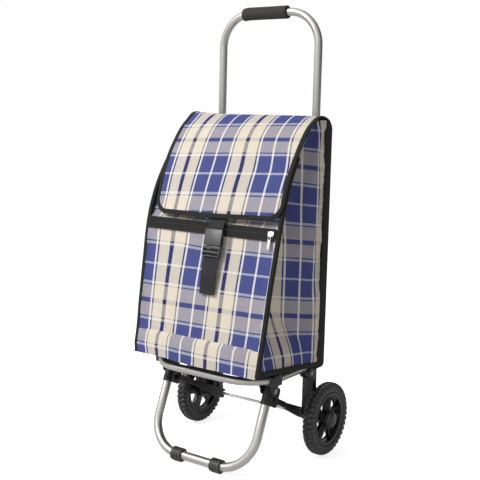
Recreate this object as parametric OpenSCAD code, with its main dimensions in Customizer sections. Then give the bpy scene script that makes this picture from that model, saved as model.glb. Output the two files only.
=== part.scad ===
// Two-wheeled shopping trolley: folding tube frame, plastic fittings and a
// plaid bag with a buckled flap. Millimetres. X right, Y back, Z up.
// Everything is drawn about the axle and then moved back by axle_y.

/* [Main tube] */
// Outside diameter of the handle tube
main_d = 17; // [14:0.5:22]
// Half the distance between the two uprights
main_half = 125; // [100:1:150]
// Backward lean of the uprights, degrees
main_lean = 1.05; // [0:0.01:8]
// Height of the handle bar's centre line
handle_z = 954; // [850:1:1050]
// Bend radius at the handle's corners
main_bend = 72; // [40:1:90]
// Wall of every tube
tube_wall = 1.2; // [0.8:0.1:2]
// Diameter of the foam grip
grip_d = 28; // [22:1:36]
// Length of the foam grip
grip_len = 116; // [80:1:126]
// How far the grip sits off the middle
grip_x = -11; // [-12:0.5:12]

/* [Leg] */
// Outside diameter of the leg tube
leg_d = 19; // [16:0.5:22]
// Half the distance between the leg's sides
leg_half = 132; // [110:1:140]
// Forward slope of the leg, degrees from upright
leg_angle = 23.27; // [15:0.01:30]
// Bend radius at the leg's lower corners
leg_bend = 75; // [50:1:90]
// Distance of each foot sleeve from the middle
foot_x = 52; // [30:1:56]

/* [Platform] */
// Outside diameter of the platform tube
deck_d = 17; // [14:0.5:20]
// Half the distance between the platform's sides
deck_half = 149; // [145:0.5:150]
// Height of the platform's centre line
deck_z = 202; // [200:0.5:203]
// Platform front, ahead of the axle
deck_reach = 220; // [200:1:230]
// Bend radius at the platform's front corners
deck_bend = 80; // [60:1:90]

/* [Wheels] */
// Wheel diameter
wheel_d = 160; // [158:0.5:162]
// Distance of each wheel's middle plane from the trolley's
wheel_x = 174; // [174:0.5:180]
// Tyre width
tyre_w = 24; // [20:1:24]
// Axle diameter
axle_d = 7; // [6:0.5:8]
// Number of spokes
spokes = 5; // [4:1:8]
// Number of tread blocks around each edge
treads = 28; // [16:1:36]

/* [Bag] */
// Width of the bag over its bindings
bag_w = 336; // [320:1:340]
// Height of the flap's lower edge
flap_z = 528; // [520:1:560]
// Height of the pocket's zip
zip_z = 504; // [495:1:510]
// Width of the binding, seen from the front
bind_w = 9; // [6:0.5:12]
// Width of the webbing strap
web_w = 38; // [25:1:40]
// How far the strap and buckle sit off the middle
strap_x = 16; // [0:1:16]
// Width of the rear binding, seen from the side
rear_w = 22; // [14:1:22]

/* [Fits] */
// Running clearance of a pin in its bore, on the diameter
run = 0.1; // [0.05:0.01:0.15]

/* [Hidden] */
$fn = 48;
axle_z = wheel_d / 2;
axle_y = 86.23;
hinge = [-38, 188];            // platform hinge, [y, z] from the axle line
knee = [-159.8, 176];          // leg hinge, on the leg's axis
knee_d = 6;
strut_pin = [-140, 150];       // strut's front pivot
strut_len = norm(strut_pin - [0, axle_z]);
strut_tilt = -atan((strut_pin[1] - axle_z) / -strut_pin[0]);
main_foot = [-1.6 + 13 * tan(main_lean), axle_z + 13];
main_len = (handle_z - main_foot[1]) / cos(main_lean);
leg_len = (knee[1] - 14.7) / cos(leg_angle);
leg_top = 8;
clamp_d = 22;                  // sleeve round the leg's end
bar_y = knee[0] - (knee[1] - 14.7) * tan(leg_angle);
bag_x = bag_w / 2;
flap_pin = [-5, 723.5];        // rolled hem that the flap turns about
inner_x = bag_x - bind_w;
bracket_d = 20.5;              // sleeve round the upright
black = [0.09, 0.09, 0.1];
steel = [0.72, 0.73, 0.75];
navy = [0.16, 0.19, 0.47];
cream = [0.9, 0.86, 0.76];

// Which piece to draw

// ---------------------------------------------------------------- helpers

// Draws about the axle line and moves the result into the part's frame.
module placed() translate([0, axle_y, 0]) children();

// Right-hand piece for s = 1, its mirror image for s = -1.
module hand(s) if (s > 0) children(); else mirror([1, 0, 0]) children();

// Extrudes a [y, z] outline from x0 to x1.
module across(x0, x1)
  translate([x0, 0, 0]) rotate([90, 0, 90]) linear_extrude(x1 - x0)
    children();

// Cylinder along X at [y, z], from x0 to x1.
module rod(p, d, x0, x1, n = 48)
  translate([x0, p[0], p[1]]) rotate([0, 90, 0])
    cylinder(d = d, h = x1 - x0, $fn = n);

// Solid U: sides along Z from z0, bends and a top bar at height len.
module u_rod(d, half, len, r, z0 = 0) {
  for (s = [-1, 1]) {
    translate([s * half, 0, z0]) cylinder(d = d, h = len - r - z0);
    translate([s * (half - r), 0, len - r]) rotate([90, 0, 0])
      rotate([0, 0, s > 0 ? 0 : 90])
        rotate_extrude(angle = 90) translate([r, 0]) circle(d = d);
  }
  translate([-(half - r), 0, len]) rotate([0, 90, 0])
    cylinder(d = d, h = 2 * (half - r));
}

// Hollow U tube with open ends.
module u_tube(d, half, len, r) difference() {
  u_rod(d, half, len, r);
  u_rod(d - 2 * tube_wall, half, len, r, -1);
}

// Frames in which a tube's sides run along Z.
module main_frame()
  translate([0, main_foot[0], main_foot[1]]) rotate([-main_lean, 0, 0])
    children();
module leg_frame()
  translate([0, knee[0], knee[1]]) rotate([-leg_angle, 0, 0]) children();
module strut_frame()
  translate([0, strut_pin[0], strut_pin[1]]) rotate([strut_tilt, 0, 0])
    children();
module wheel_frame(s)
  translate([s * wheel_x, 0, axle_z]) rotate([0, s * 90, 0])
    rotate([0, 0, s > 0 ? 180 : 0]) children();

// Place in the leg's own frame of a point [y, z] about the axle line.
function in_leg(p) = let (d = p - knee)
  [d[0] * cos(leg_angle) - d[1] * sin(leg_angle),
   d[0] * sin(leg_angle) + d[1] * cos(leg_angle)];

function arc(c, r, a0, a1, n = 12) =
  [for (i = [0:n]) let (a = a0 + (a1 - a0) * i / n)
    c + r * [cos(a), sin(a)]];

// ------------------------------------------------------------ bag outline

// Side view of the bag's front and top, [y, z], bottom to rear top.
outline = [
  [-252, 229], [-247, 250], [-234, 300], [-223, 350], [-213, 395],
  [-201, 440], [-188, 490], [-172, 545], [-153, 600], [-125, 650],
  [-89, 698], [-62, 720], [-38, 731], [-20, 729.5], [-4, 722]];
last = len(outline) - 1;
per = 3;

function knot(i) = outline[max(0, min(last, i))];
function spline(i, t) =
  let (a = knot(i - 1), b = knot(i), c = knot(i + 1), d = knot(i + 2))
    0.5 * (2 * b + (c - a) * t + (2 * a - 5 * b + 4 * c - d) * t * t
      + (3 * b - a - 3 * c + d) * t * t * t);
curve = concat(
  [for (i = [0:last - 1]) for (k = [0:per - 1]) spline(i, k / per)],
  [outline[last]]);
ends = len(curve) - 1;
mouth = 9 * per;               // the front panel's top edge
function normal(i) =
  let (t = curve[min(ends, i + 1)] - curve[max(0, i - 1)])
    [-t[1], t[0]] / norm(t);
function off(i, d) = curve[i] + d * normal(i);

// Fabric between offsets d0 and d1 from the outline, knots i0 to i1.
module ply(i0, i1, d0, d1)
  polygon(concat([for (i = [i0:i1]) off(i, d0)],
    [for (i = [i1:-1:i0]) off(i, d1)]));

levels = [for (i = [0:12 * per]) [curve[i][1], curve[i][0]]];
function front_y(z) = lookup(z, levels);
function front_tilt(z) = atan((front_y(z + 8) - front_y(z - 8)) / 16);
// Point at height z, d millimetres out from the front panel.
function out(z, d) =
  [front_y(z), z] + d * [-cos(front_tilt(z)), sin(front_tilt(z))];
// Frame on the front panel: Z up the panel, -Y out of it.
module on_front(z)
  translate([0, front_y(z), z]) rotate([-front_tilt(z), 0, 0])
    children();

function back_y(z) =
  main_foot[0] + (z - main_foot[1]) * tan(main_lean) - main_d / 2 - 0.6;
function rear_face(z) = back_y(z) + 4.5;   // the rear bindings' back
base_slope = (228 - 211.5) / (252 - 17);
base_rear = back_y(211) - 2.05;
function base_low(y) = 211.5 - (y + 17) * base_slope;
edge_slope = (229 - 200) / (252 - 17);
function edge_low(y) = 200 - (y + 17) * edge_slope;

// ------------------------------------------------------------- main frame

module main_tube() color(steel) placed() difference() {
  main_frame() u_tube(main_d, main_half, main_len, main_bend);
  for (s = [-1, 1]) rivet_bores(s);
}

module rivet_bores(s, d = 4.8) for (h = [45, 85])
  main_frame() translate([s * main_half, 20, h]) rotate([90, 0, 0])
    cylinder(d = d, h = 40);

module handle_grip() color([0.16, 0.16, 0.17]) placed() main_frame()
  difference() {
    translate([grip_x - grip_len / 2, 0, main_len]) rotate([0, 90, 0])
      rotate_extrude() polygon([
        [0, 0], [grip_d / 2 - 3, 0], [grip_d / 2, 3],
        [grip_d / 2, grip_len - 3], [grip_d / 2 - 3, grip_len],
        [0, grip_len]]);
    u_rod(main_d, main_half, main_len, main_bend);
  }

// Wheel bracket: sleeve on the upright, and a block outside it that
// holds the axle and, between two cheeks, the platform's hinge.
module wheel_bracket(s) color(black) placed() hand(s) difference() {
  union() {
    main_frame() translate([main_half, 0, -12])
      cylinder(d = bracket_d, h = 116);
    translate([0, 0, 110]) linear_extrude(72) polygon([
      [130, -14], [137, -24], [142, -24], [142, -4], [130, -4]]);
    rod([0, axle_z], 26, 119, 158.5);
    across(136, 158.5) polygon(concat(
      arc(hinge, 12, 250, 50), [[-25, 199], [-16, 199], [-16, 150]],
      arc([0, axle_z], 12.4, 30, -150), [[-31, 108], [-31, 172]]));
  }
  main_frame() translate([main_half, 0, 0]) cylinder(d = main_d, h = 120);
  rod([0, axle_z], axle_d, 110, 160);
  across(143.5, 154.5) polygon([
    [-70, 176], [-22, 176], [-22, 210], [-70, 210]]);
  rod(hinge, 6, 130, 160);
  across(155, 160) polygon([
    [-28.5, 114], [-24.5, 114], [-24.5, 168], [-28.5, 168]]);
  rivet_bores(1);
}

module axle() color([0.85, 0.86, 0.88]) placed()
  rod([0, axle_z], axle_d, -193, 193);

module axle_washers() color(steel) placed() for (s = [-1, 1]) hand(s)
  difference() {
    rod([0, axle_z], 18, 158.5, 160);
    rod([0, axle_z], axle_d, 158, 161);
  }

module push_nuts() color(steel) placed() for (s = [-1, 1]) hand(s)
  difference() {
    rod([0, axle_z], 15, 187.3, 189.3);
    rod([0, axle_z], axle_d, 187, 190);
  }

module bracket_rivets() color(steel) placed() for (s = [-1, 1])
  for (h = [45, 85]) main_frame()
    translate([s * main_half, 0, h]) rotate([90, 0, 0])
      translate([0, 0, -bracket_d / 2]) union() {
        cylinder(d = 4.8, h = bracket_d);
        for (z = [-1.6, bracket_d]) translate([0, 0, z])
          cylinder(d = 9, h = 1.6);
      }

module platform_pins() color(steel) placed() for (s = [-1, 1])
  hand(s) union() {
    rod(hinge, 6, 134, 160);
    rod(hinge, 10, 158.5, 160.5);
    rod(hinge, 10, 134, 136);
  }

// ----------------------------------------------------------------- wheels

module tyre(s) color(black) placed() wheel_frame(s) difference() {
  rotate_extrude($fn = 96) polygon([
    [58.5, -9], [60, -11], [68, -12], [75, -11.6], [79, -8.6],
    [axle_z, -5], [axle_z, -1.6], [77.8, -1], [77.8, 1],
    [axle_z, 1.6], [axle_z, 5], [79, 8.6], [75, 11.6], [68, 12],
    [60, 11], [58.5, 9]]);
  for (i = [0:treads - 1]) for (e = [0, 1])
    rotate([0, 0, (i + e / 2) * 360 / treads])
      translate([77, -2, e * 14 - 15]) cube([8, 4, 16]);
}

module wheel_hub(s) color(black) placed() wheel_frame(s) let (
    phase = s > 0 ? 0 : 0.5) difference() {
  union() {
    rotate_extrude($fn = 96) polygon([
      [50, -10], [57, -10], [58.5, -9], [58.5, 9], [57, 10], [50, 10],
      [52.5, 6], [52.5, -6]]);
    translate([0, 0, -13.8]) cylinder(d = 34, h = 26.8);
    for (i = [0:spokes - 1]) rotate([0, 0, (i + phase) * 360 / spokes])
      translate([14, -7, -5]) cube([40, 14, 10.4]);
  }
  translate([0, 0, -20]) cylinder(d = 12, h = 40);
  for (i = [0:spokes - 1]) rotate([0, 0, (i + phase) * 360 / spokes])
    translate([20.5, -3.5, 2]) cube([26, 7, 10]);
}

module wheel_bush(s) color(steel) placed() wheel_frame(s) difference() {
  translate([0, 0, -13.8]) cylinder(d = 12, h = 26.8);
  translate([0, 0, -20]) cylinder(d = axle_d + run, h = 40);
}

module hub_cap(s) color([0.13, 0.13, 0.14]) placed() wheel_frame(s)
  rotate_extrude() polygon([
    [9.5, 13], [18.5, 13], [18.5, 15], [16.5, 18], [12, 20.6], [6, 22],
    [0, 22.4], [0, 20.4], [9.5, 20.4]]);

// --------------------------------------------------------------- platform

// The platform loop lies in the XY plane, open towards the back.
module deck_frame() translate([0, -52, deck_z]) rotate([90, 0, 0])
  children();

module platform_tube() color(steel) placed() deck_frame()
  u_tube(deck_d, deck_half, deck_reach - 52, deck_bend);

// End fitting: a plug in the tube and a tongue on the hinge pin.
module platform_end(s) color(black) placed() hand(s) difference() {
  union() {
    translate([deck_half, -52, deck_z]) rotate([90, 0, 0])
      cylinder(d = deck_d - 2 * tube_wall, h = 24);
    across(144, 154) polygon(concat(
      [[-52, 195.5], [-52, 208.5], [-42, 202]],
      arc(hinge, 9, 60, -120)));
  }
  rod(hinge, 6 + run, 140, 160);
}

// Lug on the platform tube that carries the leg's hinge pin.
module platform_lug(s) color(black) placed() hand(s) difference() {
  union() {
    across(116.5, 158.5) polygon([
      [-181, 191], [-181, 210], [-178, 213.5], [-154, 213.5],
      [-151, 210], [-151, 191]]);
    for (x = [116.5, 143.5]) across(x, x + 4) polygon(concat(
      [[-178, 192], [-151, 196], [-148.5, 184]],
      arc(knee, 11, 10, -190)));
  }
  deck_frame() u_rod(deck_d, deck_half, deck_reach - 52, deck_bend);
  rod(knee, knee_d, 110, 150);
}

module leg_pins() color(steel) placed() for (s = [-1, 1])
  hand(s) union() {
    rod(knee, knee_d, 114.7, 149.3);
    for (x = [114.7, 147.5]) rod(knee, 12, x, x + 1.8);
  }

// -------------------------------------------------------------------- leg

// Solid bar on the leg's line, in the leg's own frame.
module leg_rod(d) translate([0, 0, leg_top]) rotate([180, 0, 0])
  u_rod(d, leg_half, leg_len + leg_top, leg_bend, d < leg_d ? -1 : 0);

module leg_tube() color(steel) placed() leg_frame() difference() {
  leg_rod(leg_d);
  leg_rod(leg_d - 2 * tube_wall);
  rotate([0, 90, 0]) translate([0, 0, -200])
    cylinder(d = knee_d + run, h = 400);
  clamp_bores();
}

module clamp_bores() for (s = [-1, 1])
  translate([s * leg_half, 20, -22]) rotate([90, 0, 0])
    cylinder(d = 4.8, h = 40);

module leg_clamp(s) color(black) placed() hand(s) leg_frame()
  difference() {
    union() {
      translate([leg_half, 0, -31]) cylinder(d = clamp_d, h = 40.5);
      translate([leg_half, 0, -31]) cylinder(d = clamp_d + 2, h = 3);
      across(129, 135) polygon(concat(
        [[10, 6]], arc([33, 3], 7, 90, 0, 4), arc([34, -26], 6, 0, -90, 4),
        [[10, -31]]));
    }
    translate([leg_half, 0, -50]) cylinder(d = leg_d, h = 50 + leg_top);
    rotate([0, 90, 0]) translate([0, 0, 100])
      cylinder(d = knee_d + run, h = 60);
    across(128, 136) polygon(concat(
      arc([19, 0], 3, 180, 60, 4), arc([29, -4], 3, 60, -30, 4),
      arc([19, -10], 3, -60, -180, 4)));
    rod(in_leg(strut_pin), 6, 120, 140);
    clamp_bores();
  }

module clamp_rivets() color(steel) placed() leg_frame()
  for (s = [-1, 1]) translate([s * leg_half, 0, -22])
    rotate([90, 0, 0]) union() {
      translate([0, 0, -10.8]) cylinder(d = 4.8, h = 21.8);
      translate([0, 0, 11]) cylinder(d = 9, h = 1.4);
    }

module strut_pins() color(steel) placed() leg_frame()
  for (s = [-1, 1]) hand(s) union() {
    rod(in_leg(strut_pin), 6, 120.7, 137);
    for (x = [120.7, 135]) rod(in_leg(strut_pin), 10, x, x + 2);
  }

module foot_sleeve(s) color(black) placed() hand(s) difference() {
  union() {
    rod([bar_y, 14.7], 26, foot_x - 12, foot_x + 12);
    for (x = [-12, -5.5, 1]) rod([bar_y, 14.7], 29,
      foot_x + x, foot_x + x + 3);
    rod([bar_y, 14.7], 29.2, foot_x + 7, foot_x + 12);
    across(foot_x - 11, foot_x + 11) polygon([
      [bar_y - 5, 0], [bar_y + 5, 0], [bar_y + 9, 6], [bar_y - 9, 6]]);
  }
  leg_frame() leg_rod(leg_d);
}

// Strut: joggled flat arm whose forked end seats on the axle.
module strut(s) color(black) placed() hand(s) strut_frame()
  difference() {
    intersection() {
      translate([0, 0, -15]) linear_extrude(30) polygon([
        [123, -10], [128.5, -10], [128.5, 52], [112, 92],
        [112, strut_len + 7.5], [107, strut_len + 7.5], [107, 90],
        [123, 49]]);
      across(100, 130) polygon(concat(
        arc([0, 0], 6.5, 80, 280),
        [[60, -5.5], [118, -9], [150, -11], [160, -11], [166, -7],
         [166, 7], [160, 11], [150, 11], [118, 9], [60, 5.5]]));
    }
    rod([0, 0], 6 + run, 100, 140);
    rod([strut_len, 0], axle_d + 0.5, 100, 140);
    translate([100, strut_len, 0]) rotate([-strut_tilt, 0, 0])
      translate([0, 0, -(axle_d + 0.5) / 2]) cube([40, 30, axle_d + 0.5]);
  }

// -------------------------------------------------------------------- bag

module bag_front() color(navy) placed()
  across(-inner_x, inner_x) ply(0, mouth, 0, -2);

// Side gusset: flat behind, folded inwards between two creases, and
// spread flat again at the bottom. Each row runs from back to front.
function gusset_in(z) = lookup(z, [[250, 0], [342, 52], [480, 50],
  [560, 70], [620, 64], [713, 20]]);
function gusset_row(e) = let (z = min(e[1], 716)) [
  [0, rear_face(z) - rear_w, z],
  [0, lookup(z, [[600, -47], [713, -40]]), z],
  [gusset_in(z), lookup(z, [[250, -54], [342, -138], [480, -132],
    [560, -110], [620, -100], [713, -49]]), z],
  [gusset_in(z), lookup(z, [[250, -230], [342, -144], [480, -138],
    [560, -115], [620, -105], [713, -53]]), z],
  [0, e[0], e[1]]];
gusset = concat(
  [[for (y = [rear_face(214) - rear_w, -48, -90, -190, -241])
    [0, y, edge_low(y) + 11]]],
  [for (i = [2:11 * per]) gusset_row(off(i, -8))]);

cols = 5;
rim = concat([for (c = [0:cols - 1]) c],
  [for (r = [1:len(gusset) - 1]) r * cols + cols - 1],
  [for (c = [cols - 2:-1:0]) (len(gusset) - 1) * cols + c],
  [for (r = [len(gusset) - 2:-1:1]) r * cols]);

module bag_side(s) color(navy) placed() hand(s) let (
    n = cols * len(gusset))
  polyhedron(
    points = [for (t = [1, 3]) for (row = gusset) for (p = row)
      [bag_x - t - p[0], p[1], p[2]]],
    faces = concat(
      [for (r = [0:len(gusset) - 2]) for (c = [0:cols - 2])
        let (a = r * cols + c, b = a + cols) for (f = [
          [a, a + 1, b + 1], [a, b + 1, b],
          [n + a, n + b + 1, n + a + 1], [n + a, n + b, n + b + 1]]) f],
      [for (k = [0:len(rim) - 1])
        let (a = rim[k], b = rim[(k + 1) % len(rim)])
          for (f = [[a, n + b, b], [a, n + a, n + b]]) f]));

module bag_back() color(navy) placed() across(-inner_x, inner_x)
  polygon([[back_y(200), 200], [back_y(720), 720],
    [back_y(720) - 2, 720], [back_y(200) - 2, 200]]);

module bag_base() color(navy) placed() across(-inner_x, inner_x)
  polygon([[base_rear, base_low(base_rear)],
    [-249, base_low(-249)], [-249, base_low(-249) + 2],
    [base_rear, base_low(base_rear) + 2]]);

module base_board() color([0.45, 0.42, 0.38]) placed()
  across(-154, 154) polygon([
    [-24, base_low(-24) + 2.02], [-240, base_low(-240) + 2.02],
    [-240, base_low(-240) + 5.5], [-24, base_low(-24) + 5.5]]);

module pocket_lining() color([0.2, 0.2, 0.22]) placed()
  across(-152, 152) union() {
    ply(3, 18, -4, -5);
    ply(3, 4, -2, -5);
    ply(17, 18, -2, -5);
  }

module front_binding(s) color(black) placed() hand(s)
  across(inner_x, bag_x) ply(0, mouth, 0.5, -8);

module rear_binding(s) color(black) placed() hand(s)
  across(inner_x, bag_x) polygon([
    [rear_face(edge_low(-4)), edge_low(-4)], [rear_face(719), 719],
    [rear_face(719) - rear_w, 719],
    [rear_face(edge_low(-26)) - rear_w, edge_low(-26)]]);

module bottom_binding(s) color(black) placed() hand(s)
  across(inner_x, bag_x) polygon([
    [rear_face(edge_low(-26)) - rear_w, edge_low(-26)],
    [-242, edge_low(-242)], [-242, edge_low(-242) + 11],
    [rear_face(edge_low(-26) + 11) - rear_w, edge_low(-26) + 11]]);

// Fabric channel that holds the bag to one upright.
module tube_sleeve(s) color(black) placed() main_frame()
  translate([s * main_half, 0, 150]) difference() {
    cylinder(d = main_d + 4.2, h = 460);
    translate([0, 0, -1]) cylinder(d = main_d + 0.6, h = 462);
    translate([-20, -29.09, -1]) cube([40, 20, 462]);
  }

module band(z0, z1) intersection() {
  children();
  translate([-200, -400, z0]) cube([400, 500, z1 - z0]);
}

module zipper_tape() color(black) placed() union() {
  band(zip_z - 10, zip_z + 10) across(-inner_x, inner_x)
    ply(12, 24, 0.8, 0);
  band(zip_z - 1.5, zip_z + 1.5) across(-152, 152) ply(12, 24, 1.8, 0);
}

module zipper_slider() color(steel) placed() on_front(zip_z)
  difference() {
    union() {
      translate([141, -3.4, -5]) cube([13, 1, 10]);
      for (x = [142.4, 151]) translate([x, -5, -4.5])
        cube([1.6, 2, 3]);
    }
    rod([-4.2, -3], 0.9, 140, 156);
  }

module zipper_pull() color(steel) placed() on_front(zip_z)
  difference() {
    union() {
      rod([-4.2, -3], 0.8, 142.6, 152.4);
      rod([-4.2, -3], 1.4, 144.3, 150.7);
      translate([144.3, -4.8, -31]) cube([6.4, 1.2, 28]);
    }
    translate([145.6, -6, -12]) cube([3.8, 4, 6]);
  }

function lift(z) = lookup(z, [[371, 0.3], [388, 0.3], [436, 6.4],
  [470, 6.4]]);

module strap_lower() color([0.11, 0.11, 0.12]) placed()
    translate([strap_x, 0, 0]) union() {
  band(371, 388) across(-web_w / 2, web_w / 2) ply(8, 17, 1.6, 0);
  across(-web_w / 2, web_w / 2) polygon(concat(
    [for (z = [373:8:461]) out(z, lift(z))],
    [for (z = [461:-8:373]) out(z, lift(z) + 1.5)]));
}

module flap_outline(gap) {
  w = bag_x - gap;
  r = 36 - gap;
  lo = flap_z + gap;
  polygon(concat(
    [[w, 760], [-w, 760]],
    arc([-w + r, lo + r], r, 180, 270, 8),
    arc([w - r, lo + r], r, 270, 360, 8)));
}

module through_front() translate([0, 100, 0]) rotate([90, 0, 0])
  linear_extrude(500) children();

module bag_flap() color(navy) placed() {
  intersection() {
    across(-bag_x, bag_x) ply(18, ends, 4.2, 2);
    through_front() flap_outline(bind_w + 1);
  }
  rod(flap_pin, 3.2, 1 - inner_x, inner_x - 1);
}

module flap_binding() color(black) placed() intersection() {
  across(-bag_x, bag_x) ply(18, ends, 4.6, 1.8);
  difference() {
    through_front() flap_outline(0);
    through_front() flap_outline(bind_w + 1);
  }
}

module strap_upper() color([0.11, 0.11, 0.12]) placed()
  translate([strap_x, 0, 0]) across(-web_w / 2, web_w / 2) polygon(concat(
    [out(560, 1.5), out(548, 1.5), out(532, 1.5), out(527, 1.6),
     out(522, 3), out(514, 7.2), out(497, 8.3)],
    [out(497, 6.9), out(514, 5.8), out(522, 1.6), out(527, 0.3),
     out(532, 0.2), out(548, 0.2), out(560, 0.2)]));

buckle_z = 478;

module buckle_socket() color(black) placed() on_front(buckle_z)
  translate([strap_x, 0, 0]) difference() {
    translate([-22, -15, -10]) cube([44, 9.6, 34]);
    translate([-15, -12.7, -11]) cube([30, 5.4, 24]);
    for (s = [-1, 1]) translate([s * 19 - 6, -12.7, -6])
      cube([12, 5.4, 13]);
    translate([-19.4, -9.6, 15.4]) cube([38.8, 3.2, 9]);
  }

module buckle_plug() color(black) placed() on_front(buckle_z)
  translate([strap_x, 0, 0]) difference() {
    union() {
      translate([-22, -14, -33]) cube([44, 9, 21.5]);
      for (s = [-1, 1]) translate([s * 11.8 - 2, -12.2, -12])
        cube([4, 4.4, 22]);
      translate([-5, -12.2, -12]) cube([10, 4.4, 18]);
    }
    translate([-19.5, -15, -31]) cube([39, 11, 5]);
    translate([-19.5, -15, -22]) cube([39, 11, 5]);
    translate([-19.5, -8.6, -34]) cube([39, 4.6, 19]);
  }

// --------------------------------------------------------------- dispatch

main_tube();
handle_grip();
wheel_bracket(-1);  // wheel_bracket_left
wheel_bracket(1);  // wheel_bracket_right
axle();
axle_washers();
push_nuts();
bracket_rivets();
platform_pins();
tyre(-1);  // tyre_left
tyre(1);  // tyre_right
wheel_hub(-1);  // wheel_hub_left
wheel_hub(1);  // wheel_hub_right
wheel_bush(-1);  // wheel_bush_left
wheel_bush(1);  // wheel_bush_right
hub_cap(-1);  // hub_cap_left
hub_cap(1);  // hub_cap_right
platform_tube();
platform_end(-1);  // platform_end_left
platform_end(1);  // platform_end_right
platform_lug(-1);  // platform_lug_left
platform_lug(1);  // platform_lug_right
leg_pins();
leg_tube();
leg_clamp(-1);  // leg_clamp_left
leg_clamp(1);  // leg_clamp_right
clamp_rivets();
strut_pins();
foot_sleeve(-1);  // foot_sleeve_left
foot_sleeve(1);  // foot_sleeve_right
strut(-1);  // strut_left
strut(1);  // strut_right
bag_front();
bag_side(-1);  // bag_side_left
bag_side(1);  // bag_side_right
bag_back();
bag_base();
base_board();
pocket_lining();
front_binding(-1);  // front_binding_left
front_binding(1);  // front_binding_right
rear_binding(-1);  // rear_binding_left
rear_binding(1);  // rear_binding_right
bottom_binding(-1);  // bottom_binding_left
bottom_binding(1);  // bottom_binding_right
tube_sleeve(-1);  // tube_sleeve_left
tube_sleeve(1);  // tube_sleeve_right
zipper_tape();
strap_lower();
bag_flap();
flap_binding();
strap_upper();
buckle_socket();
buckle_plug();
zipper_slider();
zipper_pull();
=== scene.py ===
"""Shopping trolley on wheels, dressed on its fixed frame of solids."""

import itertools
import logging
import math
from contextlib import contextmanager
from dataclasses import dataclass
from enum import Enum
from functools import partial
from typing import Callable, Iterator, Optional, Sequence

import bpy
import numpy as np
from mathutils import Matrix, Vector

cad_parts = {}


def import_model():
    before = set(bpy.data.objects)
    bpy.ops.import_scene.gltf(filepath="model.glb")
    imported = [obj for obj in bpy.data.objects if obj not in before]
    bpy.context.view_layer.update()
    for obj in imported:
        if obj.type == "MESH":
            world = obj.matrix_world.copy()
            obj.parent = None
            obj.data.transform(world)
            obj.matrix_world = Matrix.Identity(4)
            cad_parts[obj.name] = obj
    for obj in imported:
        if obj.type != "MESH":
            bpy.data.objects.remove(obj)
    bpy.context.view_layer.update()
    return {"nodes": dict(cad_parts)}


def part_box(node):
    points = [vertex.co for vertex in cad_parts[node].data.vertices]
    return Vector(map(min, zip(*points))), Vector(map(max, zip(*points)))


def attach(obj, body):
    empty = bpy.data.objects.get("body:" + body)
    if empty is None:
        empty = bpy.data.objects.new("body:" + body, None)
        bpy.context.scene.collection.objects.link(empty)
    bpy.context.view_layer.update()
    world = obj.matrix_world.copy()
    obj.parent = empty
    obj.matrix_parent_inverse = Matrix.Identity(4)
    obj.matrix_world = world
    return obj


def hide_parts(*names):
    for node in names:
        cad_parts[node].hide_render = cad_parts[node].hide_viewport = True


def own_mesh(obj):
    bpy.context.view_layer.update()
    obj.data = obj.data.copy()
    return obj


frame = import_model()

logging.basicConfig(level=logging.INFO, format="%(name)s: %(message)s")
log = logging.getLogger("trolley")

MM = 0.001
AXLE_Y = float(sum(corner.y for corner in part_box("axle")) / 2)
LEAN = 1.05  # backward lean of the uprights, degrees
RISE = math.tan(math.radians(LEAN))
AXLE_Z = 80.0  # height of the axle, mm
UPRIGHT_BACK = -1.6  # place of the uprights at the axle's height, mm
UPRIGHT_FOOT = 93.0  # height of the uprights' lower ends, mm
STRAP_X = 16.0  # how far the strap and buckle sit off the middle, mm
ZIP_Z = 504.0  # height of the zip, mm
BASE_REAR = -17.0  # place of the base's rear edge, mm
BASE_RUN = 235.0  # depth of the base, mm
Place = Callable[[np.ndarray, np.ndarray], np.ndarray]


class Side(Enum):
    """The two hands of the trolley, seen from in front of the bag."""

    LEFT = -1
    RIGHT = 1

    @property
    def word(self) -> str:
        """Ending of this side's part names."""
        return self.name.lower()


# ------------------------------------------------------------ mesh helpers


def world(points: np.ndarray) -> np.ndarray:
    """Millimetres about the axle line to metres in the row frame.

    Args:
        points: Array whose last axis is x, y, z.

    Returns:
        Array of the same shape.
    """
    return np.asarray(points, float) * MM + np.array([0.0, AXLE_Y, 0.0])


def deselect() -> None:
    """Goes to object mode with nothing selected."""
    current = bpy.context.object
    if current is not None and current.mode != "OBJECT":
        bpy.ops.object.mode_set(mode="OBJECT")
    bpy.ops.object.select_all(action="DESELECT")


def activate(obj: bpy.types.Object) -> None:
    """Selects only one object and makes it active.

    Args:
        obj: The object.
    """
    deselect()
    obj.select_set(True)
    bpy.context.view_layer.objects.active = obj


def modify(obj: bpy.types.Object, kind: str, **settings: object) -> None:
    """Adds a modifier and applies it.

    Args:
        obj: Piece to change.
        kind: Modifier type.
        **settings: Its properties.
    """
    activate(obj)
    modifier = obj.modifiers.new(kind.title(), kind)
    for name, value in settings.items():
        setattr(modifier, name, value)
    bpy.ops.object.modifier_apply(modifier=modifier.name)


def coordinates(obj: bpy.types.Object) -> np.ndarray:
    """Vertex positions of a piece.

    Args:
        obj: The piece.

    Returns:
        Rows of x, y, z in metres.
    """
    flat = np.zeros(len(obj.data.vertices) * 3)
    obj.data.vertices.foreach_get("co", flat)
    return flat.reshape(-1, 3)


def put(obj: bpy.types.Object, points: np.ndarray) -> None:
    """Moves a piece's vertices to new positions.

    Args:
        obj: Piece to change.
        points: Rows of x, y, z in metres.
    """
    obj.data.vertices.foreach_set("co", np.ascontiguousarray(points).ravel())
    obj.data.update()


@contextmanager
def editing(obj: bpy.types.Object) -> Iterator[None]:
    """Edit mode on one piece with all of it selected.

    Args:
        obj: Piece to edit.

    Yields:
        Nothing; the mode ends with the block.
    """
    activate(obj)
    bpy.ops.object.mode_set(mode="EDIT")
    bpy.ops.mesh.select_all(action="SELECT")
    yield
    bpy.ops.object.mode_set(mode="OBJECT")


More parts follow.
